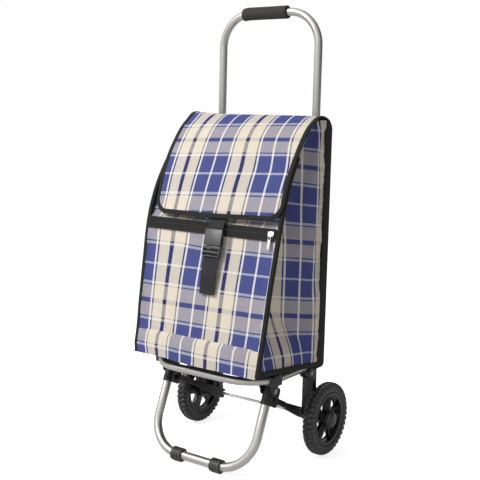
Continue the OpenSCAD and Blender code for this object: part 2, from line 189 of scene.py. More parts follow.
def weld(obj: bpy.types.Object, outward: bool = True, gap: float = 2e-6) -> None:
    """Merges doubled points and turns the faces outwards.

    Args:
        obj: Piece to clean.
        outward: Whether to recalculate the normals.
        gap: Merge distance in metres.
    """
    with editing(obj):
        bpy.ops.mesh.remove_doubles(threshold=gap)
        if outward:
            bpy.ops.mesh.normals_make_consistent(inside=False)


def primitive(
    kind: str,
    name: str,
    place: Sequence[float] = (0.0, 0.0, 0.0),
    scale: Sequence[float] = (1.0, 1.0, 1.0),
    **settings: float,
) -> bpy.types.Object:
    """Adds a primitive on its own and applies its place and scale.

    Args:
        kind: Primitive, as its operator names it.
        name: Name of the object.
        place: Its middle, mm.
        scale: Its scale along x, y and z.
        **settings: The operator's own settings.

    Returns:
        The new object.
    """
    deselect()
    add = getattr(bpy.ops.mesh, f"primitive_{kind}_add")
    add(location=[c * MM for c in place], **settings)
    obj = bpy.context.object
    obj.name = name
    obj.scale = scale
    bpy.ops.object.transform_apply(location=True, rotation=True, scale=True)
    return obj


def round_edges(
    obj: bpy.types.Object,
    width: float,
    segments: int = 2,
    degrees: float = 50.0,
    clamp: bool = True,
) -> None:
    """Bevels the edges that are sharper than an angle.

    Args:
        obj: Piece to change.
        width: Edge rounding, mm.
        segments: Faces across the rounding.
        degrees: The angle.
        clamp: Whether neighbouring roundings may not meet.
    """
    modify(
        obj,
        "BEVEL",
        width=width * MM,
        segments=segments,
        limit_method="ANGLE",
        angle_limit=math.radians(degrees),
        use_clamp_overlap=clamp,
    )


def smooth(obj: bpy.types.Object, degrees: float = 35.0) -> None:
    """Shades a piece smooth except over its sharp edges.

    Args:
        obj: Piece to shade.
        degrees: Edges sharper than this stay sharp.
    """
    activate(obj)
    bpy.ops.object.shade_smooth_by_angle(angle=math.radians(degrees))


def nearest(share: np.ndarray, count: int) -> np.ndarray:
    """Index of the entry that each share of the way, 0 to 1, points to."""
    return np.rint(share * (count - 1)).astype(int)


def shaped_grid(
    name: str,
    cols: int,
    rows: int,
    place: Place,
    cloth: Optional[Place] = None,
    wrap: bool = False,
) -> bpy.types.Object:
    """A grid primitive whose points are moved to where a rule puts them.

    Args:
        name: Piece name.
        cols: Faces along the first parameter.
        rows: Faces along the second parameter.
        place: Rule from both parameters, 0 to 1, to millimetres about the
            axle line.
        cloth: Rule from both parameters to cloth coordinates in millimetres.
        wrap: Whether the grid's opposite edges meet and are welded.

    Returns:
        The new object.
    """
    obj = primitive("grid", name, x_subdivisions=cols, y_subdivisions=rows, size=1.0)
    flat = coordinates(obj)
    u, v = flat[:, 0] + 0.5, flat[:, 1] + 0.5
    put(obj, world(place(u, v)))
    if cloth is not None:
        layer = obj.data.uv_layers.active
        corners = np.zeros(len(obj.data.loops), int)
        obj.data.loops.foreach_get("vertex_index", corners)
        layer.data.foreach_set("uv", (cloth(u, v) * MM)[corners].ravel())
    if wrap:
        weld(obj, outward=False)
    return obj


def copy_of(obj: bpy.types.Object, name: str) -> bpy.types.Object:
    """A free copy of an object with a mesh of its own.

    Args:
        obj: Object to copy.
        name: Name of the copy.

    Returns:
        The copy, tied to no body yet.
    """
    twin = obj.copy()
    twin.data = obj.data.copy()
    twin.name = name
    twin.parent = None
    for key in list(twin.keys()):
        if key.startswith("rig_"):
            del twin[key]
    bpy.context.scene.collection.objects.link(twin)
    twin.hide_render = twin.hide_viewport = False
    return twin


def mirrored(obj: bpy.types.Object, name: str) -> bpy.types.Object:
    """The left-hand twin of a right-hand piece.

    Args:
        obj: The right-hand piece.
        name: Name of its twin.

    Returns:
        The twin.
    """
    twin = copy_of(obj, name)
    put(twin, coordinates(twin) * np.array([-1.0, 1.0, 1.0]))
    twin.data.flip_normals()
    return twin


def join(name: str, pieces: Sequence[bpy.types.Object]) -> bpy.types.Object:
    """Joins objects into one named piece.

    Args:
        name: Name of the piece.
        pieces: Objects to join; they are used up.

    Returns:
        The joined piece.
    """
    deselect()
    for piece in pieces:
        piece.select_set(True)
    bpy.context.view_layer.objects.active = pieces[0]
    bpy.ops.object.join()
    pieces[0].name = name
    return pieces[0]


def ring_to(radius: float, along: float, now: tuple[float, float]) -> None:
    """Extrudes the selected ring about Z to a new radius and height.

    Args:
        radius: New radius, mm.
        along: New place along Z, mm.
        now: Present radius and place.
    """
    bpy.ops.mesh.extrude_edges_move(
        TRANSFORM_OT_translate={"value": (0, 0, (along - now[1]) * MM)}
    )
    k = radius / now[0]
    bpy.ops.transform.resize(value=(k, k, 1), center_override=(0, 0, along * MM))


def turned(
    name: str,
    profile: Sequence[tuple[float, float]],
    closed: bool = False,
    steps: int = 48,
    bevel: float = 0.0,
) -> bpy.types.Object:
    """A turned piece about Z, drawn ring by ring from a profile.

    Args:
        name: Piece name.
        profile: Radius and place along Z of each ring, mm.
        closed: Whether the last ring joins the first; otherwise both ends
            are filled.
        steps: Points round each ring.
        bevel: Edge rounding, mm.

    Returns:
        The new object, at the origin.
    """
    radius, along = profile[0]
    obj = primitive(
        "circle", name, (0, 0, along), vertices=steps, radius=radius * MM
    )
    rings = [*profile, profile[0]] if closed else profile
    with editing(obj):
        if not closed:
            bpy.ops.mesh.edge_face_add()
            bpy.ops.mesh.select_all(action="SELECT")
        for now, then in itertools.pairwise(rings):
            ring_to(*then, now)
        if not closed:
            bpy.ops.mesh.edge_face_add()
    weld(obj)
    if bevel:
        round_edges(obj, bevel, 3, 30)
    return obj


def thicken(
    obj: bpy.types.Object, thickness: float, lined: bool = False, degrees: float = 50
) -> None:
    """Gives a sheet its thickness, inwards, and shades it smooth.

    Args:
        obj: The sheet.
        thickness: In mm.
        lined: Whether it is check cloth outside and lining inside.
        degrees: Edges sharper than this stay sharp.
    """
    slots = {}
    if lined:
        for finish in (CHECK, LINING):
            obj.data.materials.append(finish.build())
        slots = {"material_offset": 1, "material_offset_rim": 0}
    modify(obj, "SOLIDIFY", thickness=thickness * MM, offset=-1.0, **slots)
    smooth(obj, degrees)


def move_by(obj: bpy.types.Object, matrix: Matrix) -> bpy.types.Object:
    """Applies a matrix to a piece's mesh.

    Args:
        obj: Piece to move.
        matrix: The move, in metres.

    Returns:
        The same piece.
    """
    obj.data.transform(matrix)
    obj.data.update()
    return obj


def refined(node: str, name: str, width: float, angle: float = 30.0) -> bpy.types.Object:
    """A copy of a solid with its flat faces rejoined and its edges rounded.

    Args:
        node: Name of the solid.
        name: Name of the new piece.
        width: Edge rounding, mm.
        angle: Edges sharper than this are rounded, degrees.

    Returns:
        The new object.
    """
    obj = copy_of(frame["nodes"][node], name)
    obj.data.materials.clear()
    weld(obj, outward=False, gap=1e-6)
    modify(obj, "DECIMATE", decimate_type="DISSOLVE", angle_limit=math.radians(0.6))
    round_edges(obj, width, 2, angle)
    smooth(obj, 32)
    return obj


# --------------------------------------------------------------- materials


def linear(code: str) -> tuple[float, float, float, float]:
    """Turns an sRGB hex value into linear colour.

    Args:
        code: The hex value, with its hash.

    Returns:
        Red, green, blue and alpha.
    """
    parts = [int(code.lstrip("#")[i : i + 2], 16) / 255 for i in (0, 2, 4)]
    return (
        *(p / 12.92 if p <= 0.04045 else ((p + 0.055) / 1.055) ** 2.4 for p in parts),
        1.0,
    )


def shade(code: str, factor: float) -> tuple[float, float, float, float]:
    """An sRGB hex value turned to linear and made darker or lighter."""
    return (*(min(1.0, c * factor) for c in linear(code)[:3]), 1.0)


def add_node(
    tree: bpy.types.NodeTree,
    kind: str,
    inputs: Optional[dict] = None,
    out: int | str = 0,
    **settings: object,
) -> Optional[bpy.types.NodeSocket]:
    """Adds a node with its settings and links.

    Args:
        tree: Node tree that gets the node.
        kind: Node type without its prefix.
        inputs: Input name or number to a value, or to the socket that
            feeds it.
        out: Name or number of the output that is wanted.
        **settings: Properties of the node.

    Returns:
        That output, or None if the node has none.
    """
    node = tree.nodes.new("ShaderNode" + kind)
    for name, value in settings.items():
        setattr(node, name, value)
    for name, value in (inputs or {}).items():
        if isinstance(value, bpy.types.NodeSocket):
            tree.links.new(value, node.inputs[name])
        else:
            node.inputs[name].default_value = value
    return node.outputs[out] if node.outputs else None


@dataclass(frozen=True)
class Finish:
    """A plain finish; the patterned ones build on it.

    Attributes:
        name: Common name of the material and how its surface was made.
        colour: sRGB hex value.
        roughness: Surface roughness.
        metallic: 1 for a bare metal.
        specular: Specular level.
        sheen: Sheen weight, for cloth.
    """

    name: str
    colour: str
    roughness: float = 0.5
    metallic: float = 0.0
    specular: float = 0.5
    sheen: float = 0.0

    def build(self) -> bpy.types.Material:
        """Makes the material once and finds it after that.

        Returns:
            The material.
        """
        found = bpy.data.materials.get(self.name)
        if found is not None:
            return found
        material = bpy.data.materials.new(self.name)
        material.use_nodes = True
        tree = material.node_tree
        inputs = tree.nodes["Principled BSDF"].inputs
        values = {
            "Base Color": linear(self.colour),
            "Roughness": self.roughness,
            "Metallic": self.metallic,
            "Specular IOR Level": self.specular,
            "Sheen Weight": self.sheen,
        }
        for name, value in values.items():
            inputs[name].default_value = value
        for name, socket in self.pattern(partial(add_node, tree)).items():
            tree.links.new(socket, inputs[name])
        return material

    def pattern(self, add: Callable) -> dict[str, bpy.types.NodeSocket]:
        """Sockets for the shader's inputs; each kind of finish has its own."""
        return {}


@dataclass(frozen=True)
class Grained(Finish):
    """A finish with fine grain and slow patches in tone.

    Attributes:
        grain: Size of the grain, mm.
        relief: Depth of the grain, mm.
        patch: Size of the patches, mm.
        tone: How far the patches darken the colour, 0 to 1.
        cells: Whether the grain is cells, as in foam, and not noise.
    """

    grain: float = 0.5
    relief: float = 0.03
    patch: float = 30.0
    tone: float = 0.15
    cells: bool = False

    def pattern(self, add: Callable) -> dict[str, bpy.types.NodeSocket]:
        """Grain as bump, patches as tone and roughness.

        Args:
            add: Adds a node to the material.

        Returns:
            Sockets for the shader's inputs.
        """
        place = add("TexCoord", None, "Object")
        fine = {"Vector": place, "Scale": 1 / (self.grain * MM)}
        if self.cells:
            grain = add("TexVoronoi", fine, "Distance", feature="SMOOTH_F1")
        else:
            grain = add("TexNoise", {**fine, "Detail": 3.0})
        patch = add(
            "TexNoise",
            {"Vector": place, "Scale": 1 / (self.patch * MM), "Detail": 5.0},
        )
        ends = {
            "Factor": patch,
            6: shade(self.colour, 1 - self.tone),
            7: shade(self.colour, 1 + self.tone),
        }
        rough = {
            "Value": patch,
            "To Min": max(0.05, self.roughness - 0.1),
            "To Max": min(1.0, self.roughness + 0.1),
        }
        bump = {"Height": grain, "Distance": self.relief * MM, "Strength": 1.0}
        return {
            "Base Color": add("Mix", ends, 2, data_type="RGBA"),
            "Roughness": add("MapRange", rough),
            "Normal": add("Bump", bump),
        }


@dataclass(frozen=True)
class Sett:
    """Order of the yarns from one stripe's middle to the next one's.

    Attributes:
        half: Distance between the two middles, mm; it is mirrored there.
        stripes: Where each yarn starts, mm, and its sRGB hex value.
    """

    half: float
    stripes: tuple[tuple[float, str], ...]

    def yarn(self, add: Callable, place: bpy.types.NodeSocket) -> bpy.types.NodeSocket:
        """Finds the yarn at a place.

        Args:
            add: Adds a node to the material.
            place: Socket of the place in metres.

        Returns:
            Socket of the yarn's colour.
        """
        there = add("Math", {0: place, 1: self.half * MM}, operation="PINGPONG")
        share = add("Math", {0: there, 1: self.half * MM}, operation="DIVIDE")
        colour = add("ValToRGB", {"Fac": share})
        ramp = colour.node.color_ramp
        ramp.interpolation = "CONSTANT"
        while len(ramp.elements) < len(self.stripes):
            ramp.elements.new(1.0)
        for element, (start, code) in zip(ramp.elements, self.stripes):
            element.position = start / self.half
            element.color = linear(code)
        return colour


@dataclass(frozen=True)
class CheckCloth(Finish):
    """Warp-faced polyester cloth woven in a check.

    Attributes:
        warp: Stripes that run up the bag.
        weft: Stripes that run across it.
        thread: Thread spacing, mm.
        face: Share of the warp on the cloth's face; pale weft shows more.
    """

    warp: Sett = Sett(1, ((0, "#000000"),))
    weft: Sett = Sett(1, ((0, "#000000"),))
    thread: float = 0.9
    face: float = 0.72

    def pattern(self, add: Callable) -> dict[str, bpy.types.NodeSocket]:
        """Two setts crossed in a twill, with the threads raised.

        Args:
            add: Adds a node to the material.

        Returns:
            Sockets for the shader's inputs.
        """
        uv = add("UVMap")
        axes = [add("SeparateXYZ", {0: uv}, i) for i in (0, 1)]
        warp, weft = (
            sett.yarn(add, axis) for sett, axis in zip((self.warp, self.weft), axes)
        )
        cells, crowns = [], []
        for axis in axes:
            step = add("Math", {0: axis, 1: self.thread * MM}, operation="DIVIDE")
            cells.append(add("Math", {0: step}, operation="FLOOR"))
            part = add("Math", {0: step}, operation="FRACT")
            arc = add("Math", {0: part, 1: math.pi}, operation="MULTIPLY")
            crowns.append(add("Math", {0: arc}, operation="SINE"))
        turn = add("Math", {0: cells[0], 1: cells[1]}, operation="ADD")
        turn = add("Math", {0: turn, 1: 3.0}, operation="FLOORED_MODULO")
        over = add("Math", {0: turn, 1: 0.5}, operation="GREATER_THAN")
        height = add("Mix", {0: over, 2: crowns[1], 3: crowns[0]})
        pale = add(
            "MapRange",
            {
                "Value": add("RGBToBW", {0: weft}),
                "From Min": 0.12,
                "From Max": 0.75,
                "To Min": self.face - 0.27,
                "To Max": self.face - 0.55,
            },
        )
        share = add("Math", {0: over, 1: 0.6, 2: pale}, operation="MULTIPLY_ADD")
        cross = add("Mix", {0: share, 6: weft, 7: warp}, 2, data_type="RGBA")
        slub = add("TexNoise", {"Vector": uv, "Scale": 1 / (12 * MM), "Detail": 4.0})
        tone = add("MapRange", {"Value": slub, "To Min": 0.93, "To Max": 1.07})
        bump = {"Height": height, "Distance": 0.12 * MM, "Strength": 0.7}
        return {
            "Base Color": add("VectorMath", {0: cross, 3: tone}, operation="SCALE"),
            "Normal": add("Bump", bump),
        }


@dataclass(frozen=True)
class Ribbed(Finish):
    """Woven tape or webbing with ribs and a line of stitches.

    Attributes:
        rib: Rib spacing across the tape, mm.
        pick: Weft spacing along the tape, mm.
        relief: Depth of the ribs, mm.
        seam: Distance of the stitch line from the tape's first edge, mm;
            none if negative.
        stitch: Length of a stitch, mm.
    """

    rib: float = 1.2
    pick: float = 1.6
    relief: float = 0.15
    seam: float = -1.0
    stitch: float = 3.2

    def pattern(self, add: Callable) -> dict[str, bpy.types.NodeSocket]:
        """Ribs along V, picks along U, stitches as short raised dashes.

        Args:
            add: Adds a node to the material.

        Returns:
            Sockets for the shader's inputs.
        """
        uv = add("UVMap")
        along, across = (add("SeparateXYZ", {0: uv}, i) for i in (0, 1))
        waves = []
        for axis, size in ((across, self.rib), (along, self.pick)):
            turn = 2 * math.pi / (size * MM)
            angle = add("Math", {0: axis, 1: turn}, operation="MULTIPLY")
            waves.append(add("Math", {0: angle}, operation="SINE"))
        cross = add("Math", {0: waves[0], 1: waves[1]}, operation="MULTIPLY")
        height = add("Math", {0: cross, 1: 0.5, 2: waves[0]}, operation="MULTIPLY_ADD")
        noise = add("TexNoise", {"Vector": uv, "Scale": 1 / (6 * MM), "Detail": 4.0})
        ends = {0: noise, 6: shade(self.colour, 0.75), 7: shade(self.colour, 1.3)}
        colour = add("Mix", ends, 2, data_type="RGBA")
        if self.seam > 0:
            line = {0: across, 1: self.seam * MM, 2: 0.45 * MM}
            near = add("Math", line, operation="COMPARE")
            step = {0: along, 1: self.stitch * MM}
            part = add("Math", step, operation="FLOORED_MODULO")
            share = {0: part, 1: 0.72 * self.stitch * MM}
            dash = add("Math", share, operation="LESS_THAN")
            thread = add("Math", {0: near, 1: dash}, operation="MULTIPLY")
            height = add(
                "Math", {0: thread, 1: 2.5, 2: height}, operation="MULTIPLY_ADD"
            )
            ends = {0: thread, 6: colour, 7: shade(self.colour, 2.2)}
            colour = add("Mix", ends, 2, data_type="RGBA")
        bump = {"Height": height, "Distance": self.relief * MM, "Strength": 0.6}
        return {"Base Color": colour, "Normal": add("Bump", bump)}


# Mild steel tube under silver lacquer: soft grey sheen, a faint orange peel.
TUBE = Grained(
    "satin silver lacquer on steel tube", "#B4B2AE", 0.3, 0.9, 0.5,
    grain=5, relief=0.003, patch=60, tone=0.05,
)
# Closed-cell EVA foam, cut and skinned: dead matt, tiny open cells.
FOAM = Grained(
    "EVA foam skinned grip", "#343330", 0.8, specular=0.4,
    grain=0.9, relief=0.12, patch=18, tone=0.2, cells=True,
)
# Zinc-plated steel wire and washers: bright, slightly cloudy.
ZINC = Grained(
    "zinc plated steel", "#E2E4E6", 0.42, 1.0,
    grain=3, relief=0.004, patch=9, tone=0.08,
)
# Plated rivets, pressed: small dents and a duller face.
RIVET = Grained(
    "plated steel rivet", "#8E8F92", 0.42, 1.0,
    grain=1.4, relief=0.02, patch=5, tone=0.15,
)
# Blacked rivets: dark, with worn bright spots.
BLACKED = Grained(
    "blacked steel rivet", "#2A2A2C", 0.4, 0.6,
    grain=1.4, relief=0.02, patch=5, tone=0.3,
)
# Glass-filled nylon from a spark-eroded mould: fine even grain, semi-matt.
NYLON = Grained(
    "moulded black nylon", "#19191B", 0.44, specular=0.5,
    grain=0.45, relief=0.03, patch=25, tone=0.22,
)
# Moulded rubber feet: greyish, scuffed on their ribs.
FEET = Grained(
    "moulded rubber foot", "#3D3D38", 0.45, specular=0.6,
    grain=1.5, relief=0.08, patch=8, tone=0.4,
)
# Solid EVA rubber tyre: chalky black with handling marks.
TYRE = Grained(
    "solid rubber tyre", "#212122", 0.42, specular=0.6,
    grain=2.4, relief=0.3, patch=10, tone=0.45,
)
# Polypropylene wheel from a polished mould: black with clear highlights.
WHEEL = Grained(
    "polished mould polypropylene", "#121214", 0.3, specular=0.5,
    grain=2.5, relief=0.012, patch=40, tone=0.2,
)
# Polypropylene cap from a polished mould: the glossiest of the blacks.
CAP = Grained(
    "hub cap polypropylene", "#1B1C20", 0.22, specular=0.55,
    grain=4, relief=0.008, patch=30, tone=0.15,
)
# Acetal bush, turned: pale grey, hidden but for its edge.
BUSH = Grained("acetal bush", "#8A8B8D", 0.4, grain=0.6, relief=0.02)
# Acetal buckle: waxy sheen on dark grey.
ACETAL = Grained(
    "moulded acetal buckle", "#313132", 0.42, specular=0.7,
    grain=0.8, relief=0.012, patch=16, tone=0.2,
)
# Nickel-plated zinc casting: warm white metal.
NICKEL = Grained(
    "nickel plated zip metal", "#DAD8D2", 0.2, 1.0,
    grain=2, relief=0.006, patch=4, tone=0.08,
)
# Pressed fibre board: brown, dry, with a coarse felted face.
BOARD = Grained("fibre board", "#4A443C", 0.85, grain=0.8, relief=0.05, tone=0.2)
# Nylon monofilament teeth: grey with small highlights.
COIL = Grained("nylon zip teeth", "#4A4A4C", 0.3, grain=0.5, relief=0.01)

NAVY, CREAM, WHITE, BLUE = "#32356A", "#F2E7D4", "#F8F7F4", "#545B97"
# Polyester woven in a check, drawn with threads of 0.9 mm so that they show:
# navy and cream bands with white edges on a faded blue ground, dull and soft.
CHECK = CheckCloth(
    "woven check polyester",
    "#808080",
    0.85,
    specular=0.12,
    warp=Sett(
        73.3,
        ((0, NAVY), (4.7, CREAM), (30.6, NAVY), (34.2, WHITE), (39.2, BLUE), (71, WHITE)),
    ),
    weft=Sett(
        79.5,
        ((0, NAVY), (4.7, CREAM), (33, NAVY), (36, WHITE), (41, BLUE), (77.2, WHITE)),
    ),
)
# Polyester grosgrain folded over the seams: dull black, fine cross ribs.
BINDING = Ribbed(
    "black grosgrain binding", "#20201E", 0.8, specular=0.25, sheen=0.05,
    rib=9, pick=1.1, relief=0.08, seam=2.2,
)
# PU-coated lining cloth: near black with a faint weave.
LINING = Ribbed(
    "coated lining cloth", "#1E2029", 0.6, specular=0.35,
    rib=1.1, pick=1.1, relief=0.04,
)
# Polypropylene webbing: coarse ribs along its length.
WEBBING = Ribbed(
    "polypropylene webbing", "#161617", 0.62, specular=0.35,
    rib=2.4, pick=1.3, relief=0.25,
)


# ------------------------------------------------------------ publication


@dataclass
class Piece:
    """How a finished object joins the trolley.

    Attributes:
        obj: The mesh.
        body: Moving body it rides on.
        slot: Name of the material slot; not used.
        finishes: Materials, outer first.
        stands_for: Solids it replaces.
        folds: Whether it gets a mesh of its own; set for pieces that flatten with the bag
            as the frame folds.
    """

    obj: bpy.types.Object
    body: str
    slot: str
    finishes: tuple[Finish, ...]
    stands_for: tuple[str, ...] = ()
    folds: bool = False

    def publish(self) -> None:
        """Dresses the object, ties it to its body and reports it."""
        obj = self.obj
        while len(obj.data.materials) < len(self.finishes):
            obj.data.materials.append(None)
        for i, finish in enumerate(self.finishes):
            obj.data.materials[i] = finish.build()
        activate(obj)
        bpy.ops.object.transform_apply(location=True, rotation=True, scale=True)
        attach(obj, self.body)
        if self.stands_for:
            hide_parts(*self.stands_for)
        if self.folds:
            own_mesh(obj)
        log.info("%s on %s, %d faces", obj.name, self.body, len(obj.data.polygons))


def publish_pair(
    stem: str,
    pair: Sequence[bpy.types.Object],
    body: str,
    slot: str,
    finishes: tuple[Finish, ...],
    folds: bool = False,
) -> None:
    """Publishes a right and a left piece that stand for a pair of solids.

    Args:
        stem: Name of the solids without their side.
        pair: The right piece and the left one.
        body: Moving body, with {} where its side goes.
        slot: Name of the material slot; not used.
        finishes: Materials, outer first.
        folds: Whether they get meshes of their own; set for pieces that flatten with the
            bag.
    """
    for side, obj in zip((Side.RIGHT, Side.LEFT), pair):
        node = f"{stem}_{side.word}"
        Piece(obj, body.format(side.word), slot, finishes, (node,), folds).publish()


def dress_solid(node: str, finish: Finish) -> None:
    """Gives a solid that stays as it is its finish.

    Args:
        node: Name of the solid.
        finish: Its finish.
    """
    obj = frame["nodes"][node]
    obj.data.materials.clear()
    obj.data.materials.append(finish.build())
    log.info("%s keeps its solid", node)


# -------------------------------------------------------------- the frame


@dataclass
class TubeLoop:
    """A bent tube: two legs, two bends and a bar between them.

    Attributes:
        name: Solid it stands for.
        body: Moving body.
        diameter: Outside diameter, mm.
        half: Half the distance between the legs, mm.
        reach: From the open ends to the bar, mm.
        bend: Bend radius, mm.
        seat: Places the loop, drawn with its legs along Z.
        wall: Wall of the tube, mm.
    """

    name: str
    body: str
    diameter: float
    half: float
    reach: float
    bend: float
    seat: Matrix
    wall: float = 1.2

    def build(self) -> None:
        """Draws one leg, spins the bend, runs the bar and ends the tube."""
        obj = primitive(
            "circle",
            self.name + "_lacquered",
            (self.half, 0, 0),
            vertices=32,
            radius=self.diameter / 2 * MM,
        )
        straight = self.reach - self.bend
        inner = self.half - self.bend
        runs = ((0, 0, straight), (-2 * inner, 0, 0), (0, 0, -straight))
        with editing(obj):
            for run, middle in zip(runs, (inner, -inner, None)):
                bpy.ops.mesh.extrude_edges_move(
                    TRANSFORM_OT_translate={"value": [c * MM for c in run]}
                )
                if middle is not None:
                    bpy.ops.mesh.spin(
                        steps=20,
                        angle=math.pi / 2,
                        center=(middle * MM, 0, straight * MM),
                        axis=(0, 1, 0),
                    )
        weld(obj)
        modify(obj, "SOLIDIFY", thickness=self.wall * MM, offset=-1.0)
        round_edges(obj, 0.3)
        move_by(obj, self.seat)
        smooth(obj, 40)
        Piece(obj, self.body, "tube", (TUBE,), (self.name,)).publish()


def upright_y(z: float | np.ndarray) -> float | np.ndarray:
    """Place of the uprights' axes behind the axle at a height, mm."""
    return UPRIGHT_BACK + (z - AXLE_Z) * RISE


def seat(y: float, z: float, lean: float) -> Matrix:
    """Matrix of a frame at a point about the axle line, leaned about X.

    Args:
        y: Place behind the axle, mm.
        z: Height, mm.
        lean: Rotation about X, degrees.

    Returns:
        Matrix in metres.
    """
    turn = Matrix.Rotation(math.radians(lean), 4, "X")
    return Matrix.Translation((0, AXLE_Y + y * MM, z * MM)) @ turn


@dataclass
class Chassis:
    """Tubes, grip, axle and the moulded fittings.

    Attributes:
        lean: Backward lean of the uprights, degrees.
        slope: Forward slope of the leg, degrees.
        top: Height of the handle's bar, mm.
        bend: Bend radius of the handle, mm.
        half: Half the distance between the uprights, mm.
        tube: Diameter of the uprights, mm.
        grip: Diameter, length and sideways shift of the foam grip, mm.
    """

    lean: float = LEAN
    slope: float = 23.27
    top: float = 954.0
    bend: float = 72.0
    half: float = 125.0
    tube: float = 17.0
    grip: tuple[float, float, float] = (28.0, 116.0, -11.0)

    def build(self) -> None:
        """Builds everything hard except the wheels."""
        main_seat = seat(upright_y(UPRIGHT_FOOT), UPRIGHT_FOOT, -self.lean)
        main_len = (self.top - UPRIGHT_FOOT) / math.cos(math.radians(self.lean))
        leg_top, leg_foot, leg_over = 176.0, 14.7, 8.0
        leg_len = (leg_top - leg_foot) / math.cos(math.radians(self.slope)) + leg_over
        leg_seat = seat(-159.8, leg_top, -self.slope)
        leg_seat = leg_seat @ Matrix.Translation((0, 0, leg_over * MM))
        leg_seat = leg_seat @ Matrix.Rotation(math.pi, 4, "X")
        loops = (
            TubeLoop(
                "main_tube", "frame", self.tube, self.half, main_len, self.bend, main_seat
            ),
            TubeLoop("platform_tube", "platform", 17, 149, 168, 80, seat(-52, 202, 90)),
            TubeLoop("leg_tube", "leg", 19, 132, leg_len, 75, leg_seat),
        )
        for loop in loops:
            loop.build()
        self.foam(main_seat @ Matrix.Translation((0, 0, main_len * MM)))
        kept = {
            ZINC: ("axle", "axle_washers", "push_nuts"),
            RIVET: ("platform_pins", "leg_pins"),
            BLACKED: ("bracket_rivets", "clamp_rivets", "strut_pins"),
            BUSH: ("wheel_bush_left", "wheel_bush_right"),
        }
        for finish, nodes in kept.items():
            for node in nodes:
                dress_solid(node, finish)
        self.fittings()

    def foam(self, bar: Matrix) -> None:
        """Foam grip with soft ends round the handle's bar.

        Args:
            bar: Places the grip, drawn along X, on the bar.
        """
        radius, length = self.grip[0] / 2, self.grip[1]
        half, soft, swell, count = length / 2, 3.4, 0.25, 12
        ends = [(self.tube / 2, -half + 1), (radius - soft, -half)]
        ends += [
            (radius - soft + soft * math.sin(a), -half + soft - soft * math.cos(a))
            for a in np.linspace(0.2, math.pi / 2, 6)
        ]
        shares = [i / count for i in range(1, count)]
        waist = [
            (radius - swell * math.sin(math.pi * t), -half + soft + (length - 2 * soft) * t)
            for t in shares
        ]
        profile = [*ends, *waist, *((r, -z) for r, z in reversed(ends))]
        obj = turned("foam_grip", profile, closed=True)
        along = Matrix.Translation((self.grip[2] * MM, 0, 0))
        move_by(obj, along @ Matrix.Rotation(math.pi / 2, 4, "Y"))
        points = coordinates(obj)
        past = np.clip(np.abs(points[:, 0]) / MM - (self.half - self.bend), 0, None)
        points[:, 2] -= (self.bend - np.sqrt(self.bend**2 - past**2)) * MM
        put(obj, points)
        move_by(obj, bar)
        smooth(obj, 40)
        Piece(obj, "frame", "foam", (FOAM,), ("handle_grip",)).publish()

    def fittings(self) -> None:
        """Moulded fittings, their edges rounded."""
        plans = (
            ("wheel_bracket", "frame", 1.0, NYLON),
            ("platform_end", "platform", 0.8, NYLON),
            ("platform_lug", "platform", 0.8, NYLON),
            ("leg_clamp", "leg", 0.8, NYLON),
            ("foot_sleeve", "leg", 0.5, FEET),
            ("strut", "strut_{}", 0.8, NYLON),
        )
        for side, (stem, body, width, finish) in itertools.product(Side, plans):
            node = f"{stem}_{side.word}"
            obj = refined(node, f"{node}_moulded", width)
            Piece(obj, body.format(side.word), "fitting", (finish,), (node,)).publish()


# -------------------------------------------------------------- the wheels


